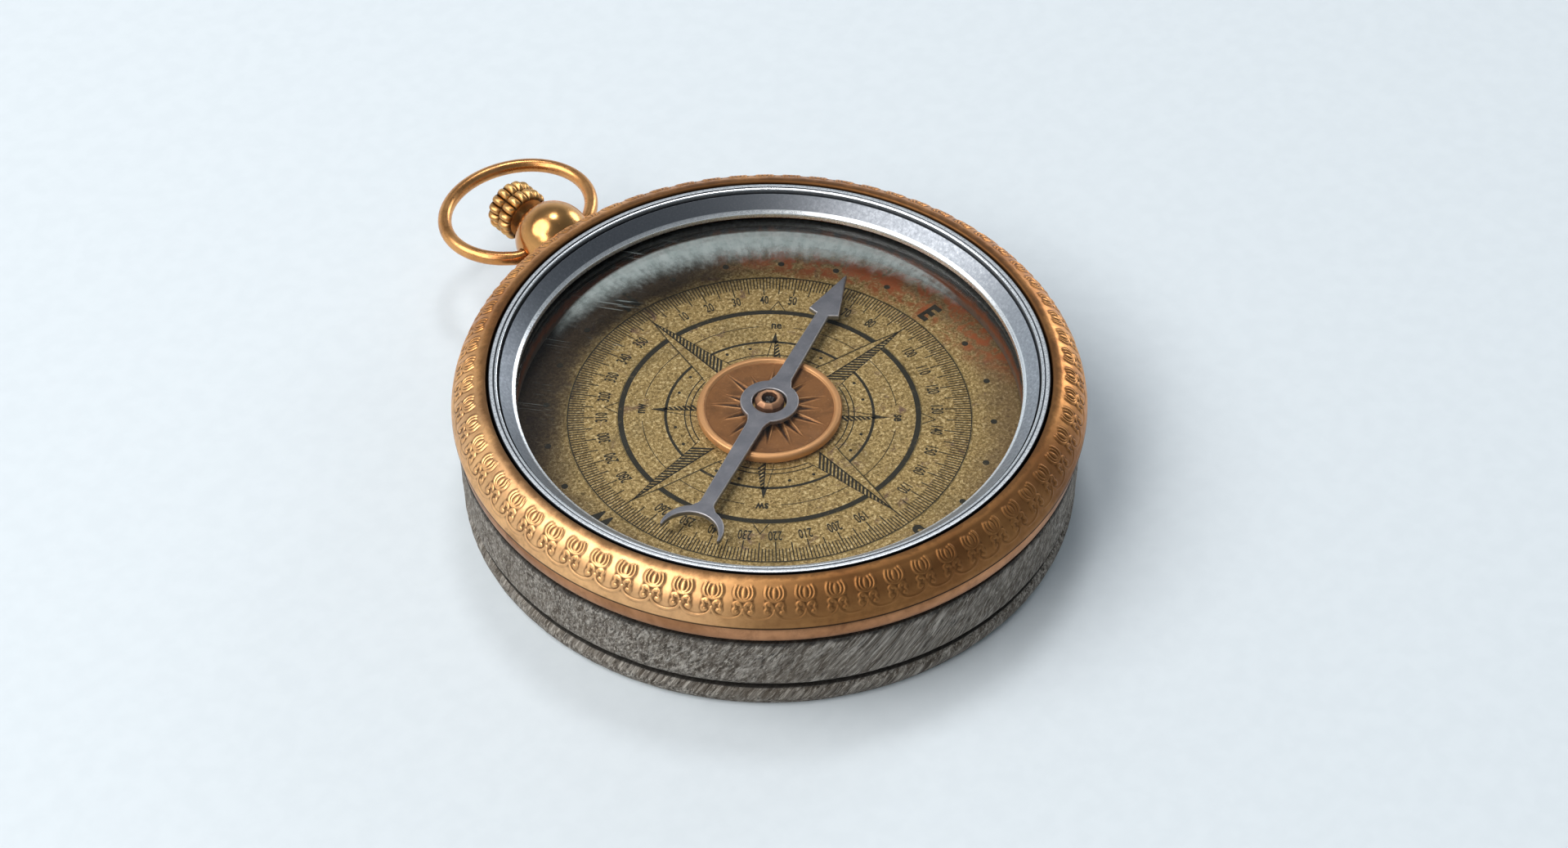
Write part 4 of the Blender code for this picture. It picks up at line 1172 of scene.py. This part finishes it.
def figure(text, bearing, kind):
    """One word or number on the dial, its top pointing outwards, as a mesh."""
    radius, height, narrow, weight = kind
    cap_share = 0.7
    curve = bpy.data.curves.new("figure", "FONT")
    curve.body = text
    curve.align_x = "CENTER"
    curve.align_y = "CENTER"
    curve.size = height * SCALE_RADIUS / cap_share
    curve.offset = weight * SCALE_RADIUS
    curve.extrude = 0.015 * MM
    curve.resolution_u = 4
    item = placed("figure", curve)
    item.location = (*at(radius, bearing), DIAL_TOP + 0.012 * MM)
    item.rotation_euler = (0, 0, -math.radians(bearing))
    item.scale = (narrow, 1, 1)
    return evaluated_mesh(item)


def make_dial():
    plate = [(DIAL_EDGE, DIAL_TOP), (DIAL_EDGE, DIAL_BOTTOM), (DIAL_HOLE, DIAL_BOTTOM), (DIAL_HOLE, DIAL_TOP)]
    mesh = revolve("dial_leaf", rounded(plate, 0.08 * MM, 3), 360)
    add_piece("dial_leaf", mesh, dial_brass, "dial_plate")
    dark, bright = dial_marks()
    bottom = DIAL_TOP - 0.02 * MM
    mesh = prisms("dial_engraving", dark, bottom, DIAL_TOP + 0.028 * MM)
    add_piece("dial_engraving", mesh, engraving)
    # Painted highlights: bright strips beside the engraved lines.
    mesh = prisms("dial_edge_highlights", bright, bottom, DIAL_TOP + 0.02 * MM)
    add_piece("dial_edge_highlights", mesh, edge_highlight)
    figures = []
    for degree in range(10, 360, 10):
        if degree % 90:
            figures.append(figure(str(degree), degree, DEGREE_FIGURES))
    for word, bearing in zip(WINDS, CORNERS):
        figures.append(figure(word, bearing, WIND_FIGURES))
    for letter, bearing in zip("NESW", CARDINALS):
        figures.append(figure(letter, bearing, LETTERS))
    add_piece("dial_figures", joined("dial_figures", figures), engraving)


# In millimetres from the axis
ROSE_RAY_START = 3.2


def rose_ray(radius, off, length):
    """Height across one engraved ray of the rose, at an angle off its middle line."""
    half = 0.62 * (1 - (radius - ROSE_RAY_START) / (length - ROSE_RAY_START)) ** 0.8
    side = off * radius
    groove = -np.exp(-((side / (0.40 * half + 0.06)) ** 2))
    lip = 0.7 * np.exp(-(((side - half) / 0.13) ** 2)) + 0.35 * np.exp(-(((side + half) / 0.13) ** 2))
    return (groove + lip) * min(1.0, 2.6 * half)


def make_rose():
    """Centre disc with sixteen engraved rays in a sunk field and a rounded rim."""
    rays = 16
    steps = 960
    field = ROSE_TOP - 0.35 * MM
    foot = DIAL_TOP + 0.3 * MM
    rim = rounded(
        [
            (8.62 * MM, ROSE_TOP - 0.30 * MM),
            (8.8 * MM, ROSE_TOP - 0.02 * MM),
            (9.15 * MM, ROSE_TOP),
            (9.55 * MM, ROSE_TOP - 0.12 * MM),
            (ROSE_RADIUS, ROSE_TOP - 0.45 * MM),
            (ROSE_RADIUS - 0.05 * MM, foot),
            (ROSE_HUB, foot),
            (ROSE_HUB, DIAL_BOTTOM),
            (ROSE_BORE, DIAL_BOTTOM),
        ],
        0.2 * MM,
        5,
        closed=False,
    )
    hub_points = 12
    first = len(rim)
    outline = np.array(rim + [(radius, field) for radius in np.linspace(ROSE_BORE, 8.55 * MM, 46)])
    angles = np.arange(steps) * TURN / steps
    depth = np.zeros((len(outline), steps))
    for number in range(rays):
        bearing = number * 360 / rays + 3.0 * math.sin(4.1 * number)
        length = 7.4 + 0.8 * math.cos(2.7 * number) + (0.6 if number % 8 == 0 else 0.0)
        middle = math.pi / 2 - math.radians(bearing)
        off = (angles - middle + math.pi) % TURN - math.pi
        for row in range(first, len(outline)):
            radius = outline[row, 0] / MM
            if ROSE_RAY_START < radius < length:
                depth[row] += rose_ray(radius, off, length)

    def engrave(radii, heights, _):
        return radii, heights + 0.13 * MM * depth

    mesh = revolve("rose", outline, steps, lift=engrave, sharp=60)
    relief = depth.copy()
    relief[:first] = 0.75
    relief[first - hub_points : first] = 0.0
    paint(mesh, "relief", relief)
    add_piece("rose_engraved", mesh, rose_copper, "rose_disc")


# ---- needle


def arc(centre, radius, start, end, count):
    angles = [math.radians(start + (end - start) * i / (count - 1)) for i in range(count)]
    return [(centre + radius * math.cos(a), radius * math.sin(a)) for a in angles]


def needle_outline():
    """The needle's outline in millimetres, its arrow along +X."""
    hub = 3.92
    hub_angle = math.degrees(math.asin(1.22 / hub))
    half = [(27.0, 0.10), (18.95, 2.2), (18.4, 0.9), (hub + 1.0, 1.16), (hub + 0.45, 1.32)]
    half += arc(0, hub, hub_angle + 7, 173 - hub_angle, 25)
    half += [(-hub - 0.45, 1.32), (-hub - 1.0, 1.2), (-20.3, 1.0), (-20.75, 1.15), (-21.1, 1.45)]
    half += arc(-25.33, 4.2, 24, 96, 14)
    half += [(-25.95, 4.10), (-26.05, 3.95)]
    half += arc(-26.3, 3.81, 85, 0, 16)
    return half + [(x, -y) for x, y in reversed(half[:-1])]


def make_needle():
    bevel = 0.16
    curve = bpy.data.curves.new("needle", "CURVE")
    curve.dimensions = "2D"
    curve.fill_mode = "BOTH"
    curve.extrude = (NEEDLE_TOP - NEEDLE_BOTTOM) / MM / 2 - bevel
    curve.bevel_depth = bevel
    curve.bevel_resolution = 1
    curve.offset = -bevel
    hole = arc(0, 2.29, 0, 360 - 360 / 64, 64)
    for outline in (needle_outline(), hole):
        spline = curve.splines.new("POLY")
        spline.points.add(len(outline) - 1)
        for point, (x, y) in zip(spline.points, outline):
            point.co = (x, y, 0.0, 1.0)
        spline.use_cyclic_u = True
    item = placed("needle", curve)
    item.scale = (MM, MM, MM)
    item.rotation_euler = (0, 0, NEEDLE_ANGLE)
    item.location = (0, 0, (NEEDLE_TOP + NEEDLE_BOTTOM) / 2)
    mesh = evaluated_mesh(item)
    weld(mesh)
    soften(mesh, 20)
    paint(mesh, "bevel", [0.15 < abs(face.normal.z) < 0.97 for face in mesh.polygons], "FACE")
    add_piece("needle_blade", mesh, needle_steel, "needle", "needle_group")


def make_cap():
    """The ten-sided cap in the needle's hub."""
    cap = [
        (1.38 * MM, CAP_TOP),
        (1.95 * MM, CAP_TOP - 0.5 * MM),
        (2.0 * MM, NEEDLE_BOTTOM),
        (1.05 * MM, NEEDLE_BOTTOM),
        (1.08 * MM, CAP_TOP - 0.1 * MM),
    ]
    mesh = revolve("cap_faceted", rounded(cap, 0.07 * MM, 2), 10)
    mesh.shade_flat()
    mesh.transform(Matrix.Rotation(NEEDLE_ANGLE, 4, "Z"))
    paint(mesh, "relief", [0.55 if point.co.z > CAP_TOP - 0.12 * MM else 0.1 for point in mesh.vertices])
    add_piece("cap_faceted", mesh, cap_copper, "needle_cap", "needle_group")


# ---- pendant, crown and bow


def make_pendant():
    """The ball, less the case beside it, the stem's bore and the bow's two holes."""
    work = bmesh.new()
    bmesh.ops.create_uvsphere(work, u_segments=96, v_segments=64, radius=PENDANT_RADIUS)
    bmesh.ops.translate(work, verts=work.verts, vec=(0, PENDANT_Y, PENDANT_Z))
    ball = finished(work, "ball")
    gap = 0.05 * MM
    top, bottom = 24 * MM, 1 * MM
    case_outline = [
        (0, top),
        (BEZEL_RADIUS + gap, top),
        (BEZEL_RADIUS + gap, SEAM),
        (BAND_RADIUS + gap, SEAM),
        (BAND_RADIUS + gap, bottom),
        (0, bottom),
    ]
    tools = [revolve("case_space", case_outline, 256, closed=False)]
    tools.append(rod(STEM_HOLE, (0, 36 * MM, PENDANT_Z), (0, 60 * MM, PENDANT_Z)))
    for side in (-1, 1):
        inner = (side * 3.6 * MM, PENDANT_Y, PENDANT_Z)
        outer = (side * 8 * MM, PENDANT_Y, PENDANT_Z)
        tools.append(rod(BOW_HOLE, inner, outer))
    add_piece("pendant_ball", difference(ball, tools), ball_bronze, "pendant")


def make_crown():
    """Two rows of sixteen beads round a drum, bored for the stem."""
    length = CROWN_END - CROWN_START
    beads = 16
    rows = 60
    bore = 1.1 * MM
    bore_depth = 3.45 * MM
    face = [(0, -0.05 * MM), (1.0 * MM, -0.05 * MM), (2.2 * MM, -0.02 * MM), (2.9 * MM, 0)]
    face = [(radius, length + level) for radius, level in face]
    side = [(CROWN_DRUM, level) for level in np.linspace(length, 0, rows)]
    back = [(2.9 * MM, 0), (2.2 * MM, 0.02 * MM), (bore, 0.02 * MM), (bore, bore_depth), (0, bore_depth)]
    first = len(face)

    def bead(radii, levels, angles):
        around = np.abs(np.cos(angles * beads / 2)) ** 0.6
        for row in range(first, first + rows):
            level = levels[row, 0]
            centre = length * (0.75 if level > length / 2 else 0.25)
            along = np.clip(1 - ((level - centre) / (0.25 * length)) ** 2, 0, 1) ** 0.5
            radii[row] = CROWN_DRUM + (CROWN_RADIUS - CROWN_DRUM) * along * around
        return radii, levels

    mesh = revolve("crown_beaded", face + side + back, beads * 18, closed=False, lift=bead, sharp=60)
    mesh.transform(Matrix.Translation((0, CROWN_START, PENDANT_Z)) @ Matrix.Rotation(-math.pi / 2, 4, "X"))
    weld(mesh)
    radii = np.array([math.hypot(point.co.x, point.co.z - PENDANT_Z) for point in mesh.vertices])
    swell = (radii - CROWN_DRUM) / CROWN_BEAD
    paint(mesh, "relief", swell)
    paint(mesh, "cavity", np.where(swell > -0.05, 1.3 - 1.7 * swell, 0.0))
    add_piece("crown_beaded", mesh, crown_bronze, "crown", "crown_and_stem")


def make_bow():
    """The oval bow, its ends turned into the pendant's holes."""
    centre = 53.6 * MM
    half_width = BOW_WIDTH - WIRE_RADIUS
    half_length = BOW_TIP - WIRE_RADIUS - centre
    opening = 43
    oval = []
    for degrees in np.linspace(opening - 90, 270 - opening, 120):
        angle = math.radians(degrees)
        oval.append((half_width * math.cos(angle), centre + half_length * math.sin(angle), PENDANT_Z))
    right = [(4.2 * MM, PENDANT_Y), (5.6 * MM, PENDANT_Y), (6.5 * MM, PENDANT_Y + 0.3 * MM)]
    path = [(x, y, PENDANT_Z) for x, y in right] + oval + [(-x, y, PENDANT_Z) for x, y in reversed(right)]
    mesh = tube("bow_ring", smooth_path(path, 3), WIRE_RADIUS, 32)
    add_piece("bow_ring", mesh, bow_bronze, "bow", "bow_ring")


# ---- other CAD nodes, stage and camera


def dress_inner_nodes():
    """Procedural finishes for the CAD nodes that stay as they are."""
    steel = ["stem", "lock_cam", "pivot_post", "lever_pin", "return_spring"]
    steel += [f"bowl_screw_{number}" for number in (1, 2, 3)]
    brass = ["bowl", "lifter_collar", "lock_lever", "lever_bracket", "pendant_tube"]
    brass += [f"base_screw_{number}" for number in (1, 2, 3, 4)]
    finishes = [
        ("steel", plain_metal("inner_steel", (0.36, 0.37, 0.39), 0.3), steel),
        ("brass", plain_metal("inner_brass", (0.55, 0.38, 0.14), 0.32), brass),
        ("copper", plain_metal("inner_copper", (0.48, 0.22, 0.11), 0.35), ["dial_foot_1", "dial_foot_2"]),
        ("jewel", jewel_material(), ["jewel_bearing"]),
    ]
    for slot, material, names in finishes:
        for name in names:
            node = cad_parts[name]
            node.data.materials.clear()
            node.data.materials.append(material)


def make_stage():
    size = 6.0
    corners = [(-size, -size, 0), (size, -size, 0), (size, size, 0), (-size, size, 0)]
    mesh = bpy.data.meshes.new("floor")
    mesh.from_pydata(corners, [], [(0, 1, 2, 3)])
    mesh.materials.append(floor_material())
    floor = placed("floor", mesh)
    floor.location = (0, 0, -0.02 * MM)


def area_light(name, azimuth, elevation, distance, size, power, colour):
    """A soft box that faces the object from an azimuth and elevation in degrees."""
    light = bpy.data.lights.new(name, "AREA")
    light.shape = "DISK"
    light.size = size
    light.energy = power
    light.color = colour
    item = placed(name, light)
    a, e = math.radians(azimuth), math.radians(elevation)
    direction = Vector((math.cos(a) * math.cos(e), math.sin(a) * math.cos(e), math.sin(e)))
    item.location = direction * distance
    item.rotation_euler = direction.to_track_quat("Z", "Y").to_euler()


def make_lights():
    """Four soft boxes, kept out of the glass's mirror direction."""
    area_light("key", 150, 54, 1.1, 0.95, 9.5, (1.0, 0.985, 0.96))
    area_light("side", -168, 40, 1.2, 0.4, 2.6, (1.0, 0.97, 0.93))
    area_light("back", 8, 18, 1.3, 0.5, 3.0, (0.93, 0.97, 1.0))
    area_light("top", 48, 66, 1.2, 0.3, 2.6, (0.97, 0.985, 1.0))


def make_room():
    """Pale surroundings that are darker overhead and towards the compass's south-east."""
    world = bpy.data.worlds.new("studio")
    bpy.context.scene.world = world
    world.use_nodes = True
    nodes, links = world.node_tree.nodes, world.node_tree.links
    place = nodes.new("ShaderNodeTexCoord").outputs["Generated"]
    split = nodes.new("ShaderNodeSeparateXYZ")
    links.new(place, split.inputs[0])
    ramp = nodes.new("ShaderNodeValToRGB")
    links.new(split.outputs["Z"], ramp.inputs[0])
    stops = [(0.02, (0.86, 0.95, 1.0)), (0.25, (0.62, 0.69, 0.74))]
    stops += [(0.55, (0.22, 0.25, 0.28)), (1.0, (0.17, 0.19, 0.21))]
    set_stops(ramp, stops)
    north_west = nodes.new("ShaderNodeVectorMath")
    north_west.operation = "DOT_PRODUCT"
    links.new(place, north_west.inputs[0])
    north_west.inputs[1].default_value = (-0.55, 0.80, 0.0)
    strength = nodes.new("ShaderNodeMapRange")
    links.new(north_west.outputs["Value"], strength.inputs["Value"])
    for name, value in (("From Min", -0.9), ("From Max", 0.5), ("To Min", 0.55), ("To Max", 1.1)):
        strength.inputs[name].default_value = value
    background = nodes["Background"]
    links.new(ramp.outputs[0], background.inputs["Color"])
    links.new(strength.outputs["Result"], background.inputs["Strength"])
    bpy.context.scene.view_settings.view_transform = "Standard"


def make_camera():
    """The photograph's viewpoint, with distances in scale radii from the middle of the dial."""
    data = bpy.data.cameras.new("camera")
    data.sensor_width = 36
    data.lens = 70.165
    data.clip_start = 0.01
    camera = placed("camera", data)
    azimuth, elevation, roll = math.radians(-42.10), math.radians(44.6955), math.radians(0.0708)
    distance, rightwards, upwards = 15.1346, 0.0716, -0.0527
    back = Vector((
        math.sin(azimuth) * math.cos(elevation),
        -math.cos(azimuth) * math.cos(elevation),
        math.sin(elevation),
    ))
    turn = back.to_track_quat("Z", "Y").to_matrix() @ Matrix.Rotation(roll, 3, "Z")
    offset = back * distance + turn.col[0] * rightwards + turn.col[1] * upwards
    middle = Vector((0, 0, DIAL_TOP))
    camera.matrix_world = Matrix.Translation(middle + offset * SCALE_RADIUS) @ turn.to_4x4()
    bpy.context.scene.camera = camera


# ---- build

bezel_bronze = bronze_material(
    "bezel_bronze", BRONZE, PATINA, GOLD, shine=0.3, seam=True, relief=True, bezel=True
)
lip_bronze = bronze_material(
    "lip_bronze", (0.36, 0.165, 0.075), (0.13, 0.058, 0.030), (0.56, 0.28, 0.14), shine=0.3, seam=True
)
ball_bronze = bronze_material(
    "ball_bronze", (0.56, 0.25, 0.08), (0.26, 0.11, 0.04), (0.80, 0.42, 0.15), shine=0.1
)
crown_bronze = bronze_material(
    "crown_bronze", (0.50, 0.24, 0.08), (0.05, 0.022, 0.010), (0.80, 0.47, 0.18), relief=True
)
bow_bronze = bronze_material(
    "bow_bronze", (0.60, 0.255, 0.08), (0.17, 0.13, 0.11), (0.84, 0.42, 0.15), shine=0.2, dull=0.6
)
wood = wood_material()
ring_steel = steel_ring_material()
dial_brass = dial_material()
engraving = engraving_material()
edge_highlight = bright_line_material()
rose_copper = copper_material("rose_copper", (0.36, 0.165, 0.055), (0.90, 0.50, 0.22))
cap_copper = copper_material("cap_copper", (0.40, 0.20, 0.11), (0.86, 0.52, 0.30))
needle_steel = needle_material()
liner_copper = liner_material()
leather = gasket_material()
glass_film = glass_material()

make_bezel()
make_case()
make_steel_ring()
make_glass()
make_dial()
make_rose()
make_needle()
make_cap()
make_pendant()
make_crown()
make_bow()
dress_inner_nodes()
make_stage()
make_lights()
make_room()
make_camera()
